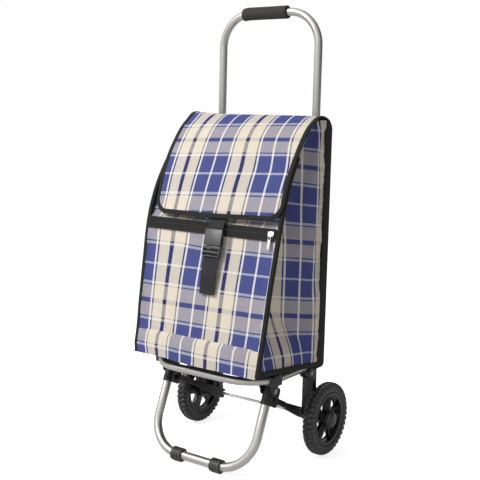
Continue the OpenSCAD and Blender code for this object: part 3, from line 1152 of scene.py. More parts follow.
@dataclass
class Wheel:
    """A small spoked wheel with a block tread.

    Attributes:
        radius: Over the tread, mm.
        track: Distance of the middle plane from the trolley's, mm.
        spokes: Number of spokes.
        blocks: Tread blocks along each shoulder.
        spread: Points round the tyre for each block.
        turns: How far the right and the left wheel stand turned, degrees.
    """

    radius: float = AXLE_Z
    track: float = 174.0
    spokes: int = 5
    blocks: int = 40
    spread: int = 8
    turns: tuple[float, float] = (-7.0, 9.0)

    def build(self) -> None:
        """Builds the right wheel and mirrors it to the left."""
        parts = (
            (self.tyre(), "tyre", "tyre", TYRE),
            (self.centre(), "wheel_hub", "wheel", WHEEL),
            (self.cap(), "hub_cap", "cap", CAP),
        )
        outward = Matrix.Rotation(math.pi / 2, 4, "Y") @ Matrix.Rotation(math.pi, 4, "Z")
        hub = Matrix.Translation((0, AXLE_Y, self.radius * MM))
        track = Matrix.Translation((self.track * MM, 0, 0))
        for obj, stem, slot, finish in parts:
            move_by(obj, track @ hub @ outward)
            smooth(obj, 32)
            twin = mirrored(obj, obj.name + "_left")
            obj.name += "_right"
            for wheel, degrees in zip((obj, twin), self.turns):
                turn = Matrix.Rotation(math.radians(degrees), 4, "X")
                move_by(wheel, hub @ turn @ hub.inverted())
            publish_pair(stem, (obj, twin), "wheel_{}", slot, (finish,))

    def tyre(self) -> bpy.types.Object:
        """Tyre whose shoulders are cut into staggered blocks.

        Returns:
            The tyre about Z.
        """
        crown = self.radius
        half = [
            (58.5, 0.0), (58.5, 6.0), (59.2, 9.6), (61.0, 10.9), (64.5, 11.7),
            (67.2, 11.9), (68.4, 12.0), (71.0, 12.0), (73.5, 11.8), (75.6, 11.2),
            (77.4, 10.0), (78.7, 8.2), (79.4, 6.4), (79.8, 4.6), (crown, 3.0),
            (crown, 1.7), (78.1, 1.1), (77.9, 0.0),
        ]
        loop = [(r, -w) for r, w in half] + [(r, w) for r, w in reversed(half[:-1])]
        table = np.array(loop)
        depth = np.interp(table[:, 0], [67.5, 70.5, 77.0, 78.2], [0.0, 2.2, 3.0, 3.0])
        depth[np.abs(table[:, 1]) < 1.5] = 0.0

        def place(u: np.ndarray, v: np.ndarray) -> np.ndarray:
            """Where each point lies, sunk between the blocks.

            Args:
                u: First grid parameter, 0 to 1.
                v: Second grid parameter, 0 to 1.

            Returns:
                Rows of x, y, z in mm about the axle line.
            """
            row = nearest(v, len(table))
            r, w = table[row].T
            stagger = np.where(w > 0, 0.5, 0.0) + 0.02 * np.abs(w)
            phase = (u * self.blocks + stagger) % 1.0
            groove = np.clip((0.2 - np.abs(phase - 0.5)) / 0.07, 0, 1)
            r = r - depth[row] * groove * 0.95
            w = w * (1 - 0.09 * groove * (depth[row] > 0) * (r < 78))
            a = 2 * math.pi * u
            return np.column_stack([r * np.cos(a), r * np.sin(a) - AXLE_Y / MM, w])

        around = self.blocks * self.spread
        obj = shaped_grid("block_tyre", around, len(table) - 1, place, wrap=True)
        weld(obj)
        return obj

    def spoke(self) -> bpy.types.Object:
        """One spoke, wider at the rim, with a sunk slot in its face.

        Returns:
            The spoke along X.
        """
        middle = 34.3
        size = (37.6 * MM, 21 * MM, 10.4 * MM)
        arm = primitive("cube", "spoke", (middle, 0, 0.2), size, size=1.0)
        points = coordinates(arm)
        points[:, 1] *= np.where(points[:, 0] > middle * MM, 1.12, 0.92)
        put(arm, points)
        with editing(arm):
            bpy.ops.mesh.select_all(action="DESELECT")
        for face in arm.data.polygons:
            face.select = face.normal.z > 0.9  # the outer face only
        bpy.ops.object.mode_set(mode="EDIT")
        bpy.ops.mesh.inset(thickness=2.6 * MM)
        bpy.ops.mesh.extrude_region_move(
            TRANSFORM_OT_translate={"value": (0, 0, -6.0 * MM)}
        )
        bpy.ops.transform.resize(
            value=(0.96, 0.86, 1), center_override=(middle * MM, 0, 0)
        )
        bpy.ops.object.mode_set(mode="OBJECT")
        round_edges(arm, 1.0, 3, 40)
        return arm

    def centre(self) -> bpy.types.Object:
        """Rim, hub and spokes.

        Returns:
            The wheel's centre about Z.
        """
        rim = turned(
            "rim",
            [(50.5, -10), (57, -10.4), (58.6, -9.6), (58.6, 9.6), (57, 10.4), (51, 10.2),
             (50.2, 8.5), (52.4, 6.5), (52.4, -6.5), (50, -8.5)],
            closed=True, steps=96, bevel=0.5,
        )
        boss = turned(
            "boss",
            [(6.05, -13.8), (12, -13.8), (15.5, -12.5), (16.8, -9), (16.8, 8), (19.5, 9.2),
             (19.5, 11.2), (18.8, 13), (6.05, 13)],
            closed=True, bevel=0.6,
        )
        arms = [self.spoke()]
        for i in range(1, self.spokes):
            turn = Matrix.Rotation(2 * math.pi * i / self.spokes, 4, "Z")
            arms.append(move_by(copy_of(arms[0], "spoke"), turn))
        return join("spoked_centre", [rim, boss, *arms])

    def cap(self) -> bpy.types.Object:
        """Domed cap over the axle's end.

        Returns:
            The cap about Z.
        """
        rim = [
            (9.5, 20.2), (9.5, 13.0), (18.6, 13.0), (18.6, 14.6), (17.4, 15.4),
            (16.6, 17.6),
        ]
        dome = [
            (16.2 * math.cos(a), 17.8 + 4.4 * math.sin(a))
            for a in np.linspace(0.15, 1.45, 9)
        ]
        return turned("domed_cap", rim + dome)


# ---------------------------------------------------------------- the bag


class Outline:
    """Side view of the bag's front, crest and rear top.

    Attributes:
        points: Places behind the axle and heights along the line, mm.
        along: Distance of each from the bottom, mm.
        normals: Unit directions out of the bag.
        crest: Index of the highest point.
    """

    def __init__(self, knots: Sequence[tuple[float, float]]) -> None:
        """Draws a smooth line through the knots.

        Args:
            knots: Places behind the axle and heights, mm, bottom first.
        """
        k = np.array(knots, float)
        ends = np.vstack([k[0], k, k[-1]])
        out = []
        for i in range(len(k) - 1):
            a, b, c, d = ends[i : i + 4]
            for t in np.arange(16) / 16:
                out.append(
                    0.5 * (2 * b + (c - a) * t + (2 * a - 5 * b + 4 * c - d) * t**2
                           + (3 * b - a - 3 * c + d) * t**3)
                )
        out.append(k[-1])
        self.points = np.array(out)
        gaps = np.linalg.norm(np.diff(self.points, axis=0), axis=1)
        self.along = np.concatenate([[0], np.cumsum(gaps)])
        slope = np.gradient(self.points, self.along, axis=0)
        slope /= np.linalg.norm(slope, axis=1)[:, None]
        self.normals = np.stack([-slope[:, 1], slope[:, 0]], 1)
        self.crest = int(np.argmax(self.points[:, 1]))

    @property
    def length(self) -> float:
        """Length of the whole line, mm."""
        return float(self.along[-1])

    def run(self, z: float) -> float:
        """Distance along the line at a height on its front, mm."""
        return float(np.interp(z, self.points[: self.crest, 1], self.along[: self.crest]))

    def out(self, s: np.ndarray, d: np.ndarray) -> np.ndarray:
        """Points outside the line, or below its foot if s is negative.

        Args:
            s: Distances along the line, mm.
            d: Distances outside it, mm.

        Returns:
            Rows of y and z in mm about the axle line.
        """
        y, z, ny, nz = (
            np.interp(s, self.along, column)
            for column in (*self.points.T, *self.normals.T)
        )
        past = np.minimum(s, 0)
        return np.column_stack([y + d * ny + 0.23 * past, z + d * nz + 0.97 * past])


OUTLINE = Outline(
    ((-252, 229), (-247, 250), (-234, 300), (-223, 350), (-213, 395), (-201, 440),
     (-188, 490), (-172, 545), (-153, 600), (-125, 650), (-89, 698), (-62, 720),
     (-38, 731), (-20, 729.5), (-4, 722))
)


def back_y(z: np.ndarray) -> np.ndarray:
    """Place of the bag's back at a height, mm."""
    return upright_y(z) - 9.1


def edge_low(y: np.ndarray) -> np.ndarray:
    """Height of the side's bottom edge, which rises forwards, mm."""
    return 200 + 29 * (BASE_REAR - y) / BASE_RUN


def ease(x: np.ndarray, a: float, b: float) -> np.ndarray:
    """Smooth step.

    Args:
        x: Where it is wanted.
        a: Where it is 0.
        b: Where it is 1.

    Returns:
        Shares, 0 to 1.
    """
    t = np.clip((x - a) / (b - a), 0, 1)
    return t * t * (3 - 2 * t)


def slouched(points: np.ndarray) -> np.ndarray:
    """The load's lean: the left front edge swells out above the middle.

    Args:
        points: Rows of x, y, z in mm about the axle line.

    Returns:
        The moved rows.
    """
    x, y, z = points.T
    fullest = 525
    spread = np.where(z < fullest, 125, 95)
    shift = -15.0 * np.exp(-(((z - fullest) / spread) ** 2))
    shift += 5.5 * ease(z, 345, 250) + 5.0 * ease(z, 252, 228)
    moved = points.copy()
    moved[:, 0] += shift * ease(x, -40, -165) * ease(y, -40, -125)
    return moved


def slouch(obj: bpy.types.Object) -> None:
    """Gives a finished left-hand piece the load's lean."""
    put(obj, world(slouched((coordinates(obj) - world(np.zeros(3))) / MM)))


def pocket_swell(x: np.ndarray, v: np.ndarray) -> np.ndarray:
    """How far the pocket panel stands out.

    Args:
        x: Place across it, -1 to 1.
        v: Share of its height.

    Returns:
        Distances, mm.
    """
    edge = np.clip(1 - np.abs(x) ** 4, 0, 1)
    body = 3.4 * np.sin(np.pi * np.clip(v, 0, 1)) ** 0.7 * edge
    tuck = -2.2 * (1 - ease(v, 0.0, 0.03)) * edge
    return body + tuck


def strip_swell(x: np.ndarray, v: np.ndarray) -> np.ndarray:
    """How far the strip under the pocket rolls out and puckers.

    Args:
        x: Place across it, -1 to 1.
        v: Share of its height.

    Returns:
        Distances, mm.
    """
    edge = np.clip(1 - np.abs(x) ** 6, 0, 1)
    roll = 4.8 * ease(v, 0.0, 0.55) * (1 - ease(v, 0.8, 1.0))
    pucker = 0.5 * np.sin(x * 41) * np.sin(x * 17 + 1) * ease(v, 0.4, 1)
    return (roll + pucker) * edge - 1.5 * ease(v, 0.9, 1.0)


@dataclass(frozen=True)
class Panel:
    """One panel of the bag's front, laid along its side view.

    Attributes:
        name: Piece name.
        run: Where it starts and ends along the side view, mm.
        faces: Faces across and up.
        swell: Rule from the place across it, -1 to 1, and the share of its
            height to how far it stands out, mm.
        warp: Rule from x to the place across the cloth.
        weft: Rule from x and the way along the side view to the place up
            the cloth.
        give: How far it may settle, mm.
        hem: How far its lower edge dips towards the right, mm.
        stands_for: Solids it replaces.
    """

    name: str
    run: tuple[float, float]
    faces: tuple[int, int]
    swell: Place
    warp: Callable[[np.ndarray], np.ndarray]
    weft: Place
    give: float = 0.0
    hem: float = 0.0
    stands_for: tuple[str, ...] = ()

    def lay(self, half: float) -> tuple[Place, Place]:
        """Rules for the panel's points.

        Args:
            half: Half its width, mm.

        Returns:
            Rules from both grid parameters to places and to cloth places.
        """

        def spread(u: np.ndarray, v: np.ndarray) -> tuple[np.ndarray, np.ndarray]:
            """Place across the panel and way along the side view."""
            return (u - 0.5) * 2 * half, self.run[0] + (self.run[1] - self.run[0]) * v

        def place(u: np.ndarray, v: np.ndarray) -> np.ndarray:
            """Where each point lies.

            Args:
                u: First grid parameter, 0 to 1.
                v: Second grid parameter, 0 to 1.

            Returns:
                Rows of x, y, z in mm about the axle line.
            """
            x, s = spread(u, v)
            s = s - self.hem * ease(x, -90, 10) * (1 - v) ** 2
            yz = OUTLINE.out(s, self.swell(x / half, v))
            return slouched(np.column_stack([x, yz]))

        def cloth(u: np.ndarray, v: np.ndarray) -> np.ndarray:
            """Where each point is on the cloth."""
            x, s = spread(u, v)
            return np.column_stack([self.warp(x), self.weft(x, s)])

        return place, cloth


def sheet(
    name: str,
    faces: tuple[int, int],
    rules: tuple[Place, Place],
    thickness: float,
    give: float = 0.0,
) -> bpy.types.Object:
    """One panel of check cloth with its inner face lined.

    Args:
        name: Piece name.
        faces: Faces across and up.
        rules: Where each point lies, and where it is on the cloth.
        thickness: Thickness of the cloth, mm.
        give: How far the simulation may move a point, mm; 0 for none.

    Returns:
        The new object with two material slots.
    """
    obj = shaped_grid(name, *faces, *rules)
    if give:
        slacken(obj, give)
    thicken(obj, thickness, lined=True)
    return obj


@dataclass
class Gusset:
    """Right side of the bag, folded inwards between two creases.

    Attributes:
        out: How far out its flat stretches are, mm.
        low: Height where its grid starts, mm.
        even: Height from which its rows are level, mm.
        top: Height where it ends, mm.
        levels: Heights at which the fold is given, mm.
        depth: How deep the fold is at each level, mm.
        rear_crease: Where the fold starts behind, at each level, mm.
        front_crease: Where it starts in front, at each level, mm.
        shares: Where the creases are across the grid, 0 to 1.
    """

    out: float
    low: float = 232.0
    even: float = 262.0
    top: float = 727.0
    levels: tuple[float, ...] = (236, 342, 480, 560, 620, 713, 727)
    depth: tuple[float, ...] = (0, 52, 50, 70, 64, 20, 5)
    rear_crease: tuple[float, ...] = (-50, -138, -132, -110, -100, -49, -33)
    front_crease: tuple[float, ...] = (-236, -144, -138, -115, -105, -53, -37)
    shares: tuple[float, ...] = (0, 0.12, 0.52, 0.58, 1.0)

    def section(self, z: float) -> np.ndarray:
        """Crease points of one level, rear first.

        Args:
            z: Height, mm.

        Returns:
            Rows of x, y and the place across the cloth, mm.
        """
        deep, turn, back = (
            np.interp(z, self.levels, row)
            for row in (self.depth, self.rear_crease, self.front_crease)
        )
        flat = np.interp(z, (600, 713, 727), (-47, -40, -24))
        front = OUTLINE.out(np.array([OUTLINE.run(z)]), np.array([-6.0]))[0, 0]
        ys = np.array([back_y(z) - 12.0, flat, turn, back, front])
        xs = self.out - np.array([0, 0, deep, deep, 0])
        gap = np.hypot(np.diff(xs), np.diff(ys))
        arc = np.concatenate([[0], np.cumsum(gap)])
        place = -22 + 9 - arc
        place[3:] = np.interp(arc[3:], [arc[2], arc[4]], [place[2], -247])
        return np.column_stack([xs, ys, place])

    def grid(self) -> np.ndarray:
        """Points of the folded side, level by level.

        Returns:
            Table of x, y, z and the place across the cloth.
        """
        counts = (7, 18, 5, 16)
        stretches = [
            np.linspace(*ends, count)
            for ends, count in zip(itertools.pairwise(self.shares), counts)
        ]
        across = np.concatenate([stretches[0], *(part[1:] for part in stretches[1:])])
        heights = np.linspace(0, 1, 81)
        table = np.zeros((len(heights), len(across), 4))
        for i, h in enumerate(heights):
            z = self.low + (self.top - self.low) * h
            for k, column in zip((0, 1, 3), self.section(z).T):
                table[i, :, k] = np.interp(across, self.shares, column)
            edge = edge_low(table[i, :, 1]) + 6
            rise = (z - self.low) / (self.even - self.low)
            table[i, :, 2] = np.where(z < self.even, edge + (self.even - edge) * rise, z)
        return table

    def softened(self) -> np.ndarray:
        """The same table with its creases rounded and its edges kept.

        Returns:
            Table of x, y, z and the place across the cloth.
        """
        table = self.grid()
        kernel = np.array([1, 2, 3, 2, 1]) / 9
        soft = table.copy()
        for k, axis in itertools.product((0, 1, 3), (1, 0, 0, 0)):
            ends = [(0, 0), (0, 0)]
            ends[axis] = (2, 2)
            pad = np.pad(soft[:, :, k], ends, mode="edge")
            count = soft.shape[axis]
            soft[:, :, k] = sum(
                kernel[j] * np.take(pad, range(j, j + count), axis) for j in range(5)
            )
        soft[:, [0, -1]] = table[:, [0, -1]]
        return soft

    def build(self) -> bpy.types.Object:
        """Lays the grid and lets it settle.

        Returns:
            The right-hand side, one sheet.
        """
        soft = self.softened()
        levels, across = soft.shape[:2]

        def place(u: np.ndarray, v: np.ndarray) -> np.ndarray:
            """Where each point lies."""
            return soft[nearest(v, levels), nearest(u, across), :3]

        def cloth(u: np.ndarray, v: np.ndarray) -> np.ndarray:
            """Where each point is on the cloth.

            Args:
                u: First grid parameter, 0 to 1.
                v: Second grid parameter, 0 to 1.

            Returns:
                Rows of places across and up the cloth, mm.
            """
            z, way = soft[nearest(v, levels), nearest(u, across), 2:].T
            level = z + 0.115 * (way + 75)
            return np.column_stack([way + 152.5, (level - 320) * 159 / 156])

        obj = shaped_grid("gusset_right", across - 1, levels - 1, place, cloth)
        slacken(obj, 2.6)
        obj.data.flip_normals()
        return obj


@dataclass
class Tape:
    """Folded tape laid along a line as a flat rounded section.

    Attributes:
        name: Piece name.
        path: Points of the tape's outer edge, mm.
        inward: Unit directions from that edge across the tape.
        normal: Unit directions out of the cloth.
        width: Across the tape, mm, in all or at each point.
        height: Thickness over the cloth's edge, mm.
        turns: Faces round the section.
        groove: Depth of the fold along the tape's middle, mm.
    """

    name: str
    path: np.ndarray
    inward: np.ndarray
    normal: np.ndarray
    width: float | np.ndarray
    height: float
    turns: int = 16
    groove: float = 0.0

    def section(self) -> tuple[np.ndarray, np.ndarray]:
        """Superellipse with flat faces and round edges.

        Returns:
            Places across the tape and out of it, -1 to 1, closed.
        """
        a = np.linspace(0, 2 * np.pi, self.turns + 1)[:-1] + np.pi / self.turns
        cx = np.sign(np.cos(a)) * np.abs(np.cos(a)) ** 0.45
        cy = np.sign(np.sin(a)) * np.abs(np.sin(a)) ** 0.6
        return np.append(cx, cx[0]), np.append(cy, cy[0])

    def build(self) -> bpy.types.Object:
        """Sweeps the section along the line and closes its ends.

        Returns:
            The new object.
        """
        count = len(self.path)
        width = self.width * np.ones(count)
        cx, cy = self.section()
        gaps = np.linalg.norm(np.diff(self.path, axis=0), axis=1)
        step = np.concatenate([[0], np.cumsum(gaps)])

        def place(u: np.ndarray, v: np.ndarray) -> np.ndarray:
            """Where each point lies.

            Args:
                u: First grid parameter, 0 to 1.
                v: Second grid parameter, 0 to 1.

            Returns:
                Rows of x, y, z in mm about the axle line.
            """
            i, j = nearest(u, count), nearest(v, len(cx))
            across = (1 + cx[j]) * width[i] / 2
            dent = self.groove * np.exp(-((cx[j] / 0.16) ** 2))
            up = cy[j] * (self.height / 2 - dent)
            return (
                self.path[i]
                + self.inward[i] * across[:, None]
                + self.normal[i] * up[:, None]
            )

        def cloth(u: np.ndarray, v: np.ndarray) -> np.ndarray:
            """Where each point is along and across the tape."""
            i, j = nearest(u, count), nearest(v, len(cx))
            return np.column_stack([step[i], (1 - cx[j]) * width[i] / 2])

        obj = shaped_grid(self.name, count - 1, self.turns, place, cloth)
        with editing(obj):
            bpy.ops.mesh.remove_doubles(threshold=1e-6)
            bpy.ops.mesh.select_non_manifold(extend=False)
            bpy.ops.mesh.fill_holes(sides=0)
            bpy.ops.mesh.select_all(action="SELECT")
            bpy.ops.mesh.normals_make_consistent(inside=False)
        smooth(obj, 50)
        return obj


@dataclass
class Flap:
    """Flap over the mouth, its corners round, bound all along.

    Attributes:
        half: Half its width over the tape, mm.
        low: Where its lower edge is along the side view, mm.
        tape: Width of its tape, mm.
        cloth: Thickness of the cloth, mm.
        high: Where it ends along the side view, mm.
        corner: Corner radius, mm.
        rise: How far it stands off the bag, mm.
        inset: How far inside the tape's edge the cloth ends, mm.
    """

    half: float
    low: float
    tape: float
    cloth: float
    high: float = OUTLINE.length
    corner: float = 36.0
    rise: float = 3.1
    inset: float = 5.0

    def build(self) -> None:
        """Builds the cloth, then the tape round it."""
        self.panel()
        self.binding()

    def sag(self, x: np.ndarray, s: np.ndarray) -> np.ndarray:
        """How far the flap stands out, before it hangs.

        Args:
            x: Place across the flap, mm.
            s: Way along the side view, mm.

        Returns:
            Distances outside the side view, mm.
        """
        t = (s - self.low) / (self.high - self.low)
        across = x / self.half
        stand = 5.5 * np.exp(-(((s - self.low) / 55) ** 2)) * (1 - across**4)
        crest = np.exp(-(((s - OUTLINE.run(730)) / 18) ** 2))
        shoulder = 4.5 * ease(x, -105, -165) * crest
        return self.rise + stand + shoulder + 1.4 * np.sin(np.pi * t) * (1 - across**2)

    def hung(self, x: np.ndarray, s: np.ndarray, out: np.ndarray) -> np.ndarray:
        """Points of the flap, its lower left corner drawn in and down.

        Args:
            x: Place across the flap, mm.
            s: Way along the side view, mm.
            out: Distance outside the side view, mm.

        Returns:
            Rows of x, y, z in mm about the axle line.
        """
        share = 1 - ease(s, self.low + 20, self.low + 150)
        down = s - 6.0 * ease(x, self.half, -40) * share
        x = x + 6.5 * ease(x, -20, -self.half) * share
        return np.column_stack([x, OUTLINE.out(down, out)])

    def spread(self, u: np.ndarray, v: np.ndarray) -> tuple[np.ndarray, np.ndarray]:
        """Grid parameters laid out inside the tape, round at the corners.

        Args:
            u: Parameter across the flap, 0 to 1.
            v: Parameter up the flap, 0 to 1.

        Returns:
            Place across the flap and way along the side view, mm.
        """
        start = self.low + self.inset
        s = start + (self.high - start) * v
        r = self.corner - self.inset
        h = np.clip(s - start, 0, r)
        half = self.half - self.corner + np.sqrt(np.maximum(r * r - (r - h) ** 2, 0))
        return (u - 0.5) * 2 * half, s

    def panel(self) -> None:
        """Check cloth of the flap, lined."""

        def place(u: np.ndarray, v: np.ndarray) -> np.ndarray:
            """Where each point lies."""
            x, s = self.spread(u, v)
            return self.hung(x, s, self.sag(x, s) + 0.7)

        def cloth(u: np.ndarray, v: np.ndarray) -> np.ndarray:
            """Where each point is on the cloth.

            Args:
                u: First grid parameter, 0 to 1.
                v: Second grid parameter, 0 to 1.

            Returns:
                Rows of places across and up the cloth, mm.
            """
            x, s = self.spread(u, v)
            low = self.low
            # cut a little askew: the check narrows and drifts towards the crest
            high_up = ease(s, 400, 500)
            dx = 6.5 * (1 - high_up) - 0.055 * (x + 100) * high_up
            ds = -3 - 4 * np.exp(-(((s - 495) / 25) ** 2))
            ds = ds - 2.5 * (1 - ease(s, low, low + 60))
            down = 5.2 * ease(x, self.half, -40) * (1 - ease(s, low + 20, low + 150))
            rows = (s - down - ds - 483) * 0.952 - 0.05 * (x + 40)
            return np.column_stack([x - dx - 36.5 - 0.02 * (s - 415), rows])

        obj = sheet("flap_cloth", (90, 96), (place, cloth), self.cloth)
        Piece(obj, "flap", "plaid", (CHECK, LINING), ("bag_flap",), folds=True).publish()

    def edge(self) -> tuple[np.ndarray, np.ndarray, np.ndarray]:
        """Outer line of the flap, laid flat, from the right round to the left.

        Returns:
            Places across, ways along the side view, and the unit
            directions towards the flap's middle.
        """
        corner = self.corner
        side = np.linspace(self.high, self.low + corner, 70)
        turn = np.linspace(0, np.pi / 2, 14)[1:]
        bar = np.linspace(self.half - corner, corner - self.half, 50)[1:]
        xs = [
            np.full(len(side), self.half),
            self.half - corner + corner * np.cos(turn),
            bar,
        ]
        ss = [side, self.low + corner - corner * np.sin(turn), np.full(len(bar), self.low)]
        ins = [
            np.tile([-1.0, 0.0], (len(side), 1)),
            np.column_stack([-np.cos(turn), np.sin(turn)]),
            np.tile([0.0, 1.0], (len(bar), 1)),
        ]
        mirror = np.array([-1.0, 1.0])
        x = np.concatenate([*xs, -xs[1][::-1][1:], -xs[0][::-1]])
        s = np.concatenate([*ss, ss[1][::-1][1:], ss[0][::-1]])
        left = [part[::-1] * mirror for part in ins]
        inward = np.concatenate([*ins, left[1][1:], left[0]])
        return x, s, inward

    def binding(self) -> None:
        """Tape folded over the flap's edge, all round."""
        x, s, inward = self.edge()
        out = self.sag(x, s)
        path = self.hung(x, s, out)
        normal = self.hung(x, s, out + 1) - path
        slope = np.column_stack([normal[:, 2], -normal[:, 1]])
        across = np.column_stack([inward[:, 0], inward[:, 1:] * slope])
        tape = Tape("flap_binding_tape", path, across, normal, self.tape + 1, 3.4).build()
        Piece(
            tape, "flap", "binding", (BINDING,), ("flap_binding",), folds=True
        ).publish()


@dataclass
class Bag:
    """Check bag with a pocket, folded gussets and a buckled flap.

    Attributes:
        half: Half the width over the bindings, mm.
        tape: Width of the binding seen from the front, mm.
        cloth: Thickness of the cloth, mm.
        flap_z: Height of the flap's lower edge, mm.
        seam: Distance of the pocket's bottom seam up the front, mm.
    """

    half: float = 168.0
    tape: float = 9.0
    cloth: float = 1.4
    flap_z: float = 528.0
    seam: float = 51.0

    @property
    def inner(self) -> float:
        """Half the width of the panels between the bindings, mm."""
        return self.half - self.tape + 1.5

    def build(self) -> None:
        """Builds the shell, its bindings and the flap."""
        self.front()
        self.gussets()
        self.rear()
        self.bindings()
        Flap(self.half, OUTLINE.run(self.flap_z), self.tape, self.cloth).build()

    def front(self) -> None:
        """Pocket panel, the strip under it and the panel above the zip."""
        zip_low, zip_high = (OUTLINE.run(ZIP_Z + gap) for gap in (-9, 9))
        panels = (
            Panel(
                "pocket_panel", (self.seam, zip_low + 1), (80, 64), pocket_swell,
                lambda x: x - 50.2 - 4 * np.exp(-(((x + 15) / 28) ** 2)),
                lambda x, s: s - 117 - 0.018 * x
                - 4 * ease(x, -10, -90) * ease(s, 200, 250),
                give=5.0, stands_for=("bag_front", "pocket_lining"),
            ),
            Panel(
                "bottom_strip", (0.0, self.seam + 2), (110, 22), strip_swell,
                lambda x: (x - 36.5) * 1.06 + 0.03 * x, lambda x, s: s - 58, hem=3.8,
            ),
            Panel(
                "upper_panel", (zip_high - 1, OUTLINE.run(650)), (60, 40),
                lambda x, v: -9.0 * ease(v, 0.0, 0.08),
                lambda x: x - 46.5, lambda x, s: s - 118.5,
            ),
        )
        for panel in panels:
            rules = panel.lay(self.inner)
            obj = sheet(panel.name, panel.faces, rules, self.cloth, panel.give)
            Piece(
                obj, "frame", "plaid", (CHECK, LINING), panel.stands_for, folds=True
            ).publish()

    def gussets(self) -> None:
        """Sides folded inwards between creases and spread at the bottom."""
        right = Gusset(self.half - 3.4).build()
        left = mirrored(right, "gusset_left")
        slouch(left)
        for obj in (right, left):
            thicken(obj, self.cloth, lined=True, degrees=60)
        publish_pair("bag_side", (right, left), "frame", "plaid", (CHECK, LINING), True)

    def rear(self) -> None:
        """Back, base and the channels that hold the bag to the uprights."""

        def back_place(u: np.ndarray, v: np.ndarray) -> np.ndarray:
            """Where each point of the back lies."""
            z = 203 + (719 - 203) * v
            return np.column_stack([(0.5 - u) * 2 * self.inner, back_y(z) - 0.2, z])

        def base_place(u: np.ndarray, v: np.ndarray) -> np.ndarray:
            """Where each point of the base lies.

            Args:
                u: First grid parameter, 0 to 1.
                v: Second grid parameter, 0 to 1.

            Returns:
                Rows of x, y, z in mm about the axle line.
            """
            y = BASE_REAR - 233 * (1 - v)
            z = 212 + 16.5 * (BASE_REAR - y) / BASE_RUN
            return np.column_stack([(u - 0.5) * 2 * self.inner, y, z])

        def flat(u: np.ndarray, v: np.ndarray) -> np.ndarray:
            """Where each point is on the cloth."""
            return np.column_stack([(u - 0.5) * 318, v * 516])

        back = shaped_grid("back_panel", 60, 80, back_place, flat)
        base = shaped_grid("base_panel", 40, 30, base_place, flat)
        base.data.flip_normals()
        for obj, node in ((back, "bag_back"), (base, "bag_base")):
            thicken(obj, self.cloth)
            folds = node != "bag_back"
            Piece(obj, "frame", "lining", (LINING,), (node,), folds=folds).publish()
        board = refined("base_board", "base_board_cut", 0.4)
        Piece(board, "frame", "board", (BOARD,), ("base_board",), folds=True).publish()
        for side in Side:
            dress_solid(f"tube_sleeve_{side.word}", LINING)

    def front_tape(self, stem: str) -> Tape:
        """Tape down the right front edge.

        Args:
            stem: Name of the solids it stands for.

        Returns:
            The tape, not yet built.
        """
        s = np.linspace(0, OUTLINE.run(655), 90)
        depth, zeros = np.full(len(s), -3.6), np.zeros(len(s))
        yz = OUTLINE.out(s, depth)
        path = np.column_stack([zeros + self.half + 0.2, yz])
        normal = np.column_stack([zeros, OUTLINE.out(s, depth + 1) - yz])
        inward = np.tile([-1.0, 0.0, 0.0], (len(s), 1))
        return Tape(f"{stem}_tape_right", path, inward, normal, self.tape + 0.6, 8.6)

    def rear_tape(self, stem: str) -> Tape:
        """Broad tape up the right rear edge, round at both ends.

        Args:
            stem: Name of the solids it stands for.

        Returns:
            The tape, not yet built.
        """
        foot, crest = 9.0, 23.0
        z = np.linspace(edge_low(-4.0) + foot, 706, 60)
        rear = back_y(z) + 9.0
        low = np.radians(np.linspace(-80, -5, 8))
        high = np.radians(np.linspace(4, 84, 14))
        start, end = (rear[0] - foot, z[0]), (rear[-1] - crest, z[-1])
        yz = np.concatenate([
            start + foot * np.column_stack([np.cos(low), np.sin(low)]),
            np.column_stack([rear, z]),
            end + crest * np.column_stack([np.cos(high), np.sin(high)]),
        ])
        along = np.gradient(yz, axis=0)
        along /= np.linalg.norm(along, axis=1)[:, None]
        zeros = np.zeros(len(yz))
        inward = np.column_stack([zeros, -along[:, 1], along[:, 0]])
        inward[: len(low)] = (0, -1, 0)
        path = np.column_stack([zeros + self.half - 4.2, yz])
        normal = np.tile([1.0, 0.0, 0.0], (len(yz), 1))
        width = np.interp(yz[:, 1], [241, 417, 486, 605, 706], [30, 28, 25, 26.5, 29])
        return Tape(f"{stem}_tape_right", path, inward, normal, width, 8.4, 40, 0.9)

    def bottom_tape(self, stem: str) -> Tape:
        """Tape along the right side's bottom edge.

        Args:
            stem: Name of the solids it stands for.

        Returns:
            The tape, not yet built.
        """
        y = np.linspace(-24, -247, 40)
        path = np.column_stack([np.full(len(y), self.half - 4), y, edge_low(y)])
        inward = np.tile([0.0, 0.0, 1.0], (len(y), 1))
        normal = np.tile([1.0, 0.0, 0.0], (len(y), 1))
        return Tape(f"{stem}_tape_right", path, inward, normal, 11.0, 8.0)

    def bindings(self) -> None:
        """Tapes down the front, the rear and the bottom of each side."""
        tapes = {
            "front_binding": self.front_tape,
            "rear_binding": self.rear_tape,
            "bottom_binding": self.bottom_tape,
        }
        for stem, tape in tapes.items():
            folds = stem != "rear_binding"
            right = tape(stem).build()
            left = mirrored(right, f"{stem}_tape_left")
            if folds:
                slouch(left)
            publish_pair(stem, (right, left), "frame", "binding", (BINDING,), folds)


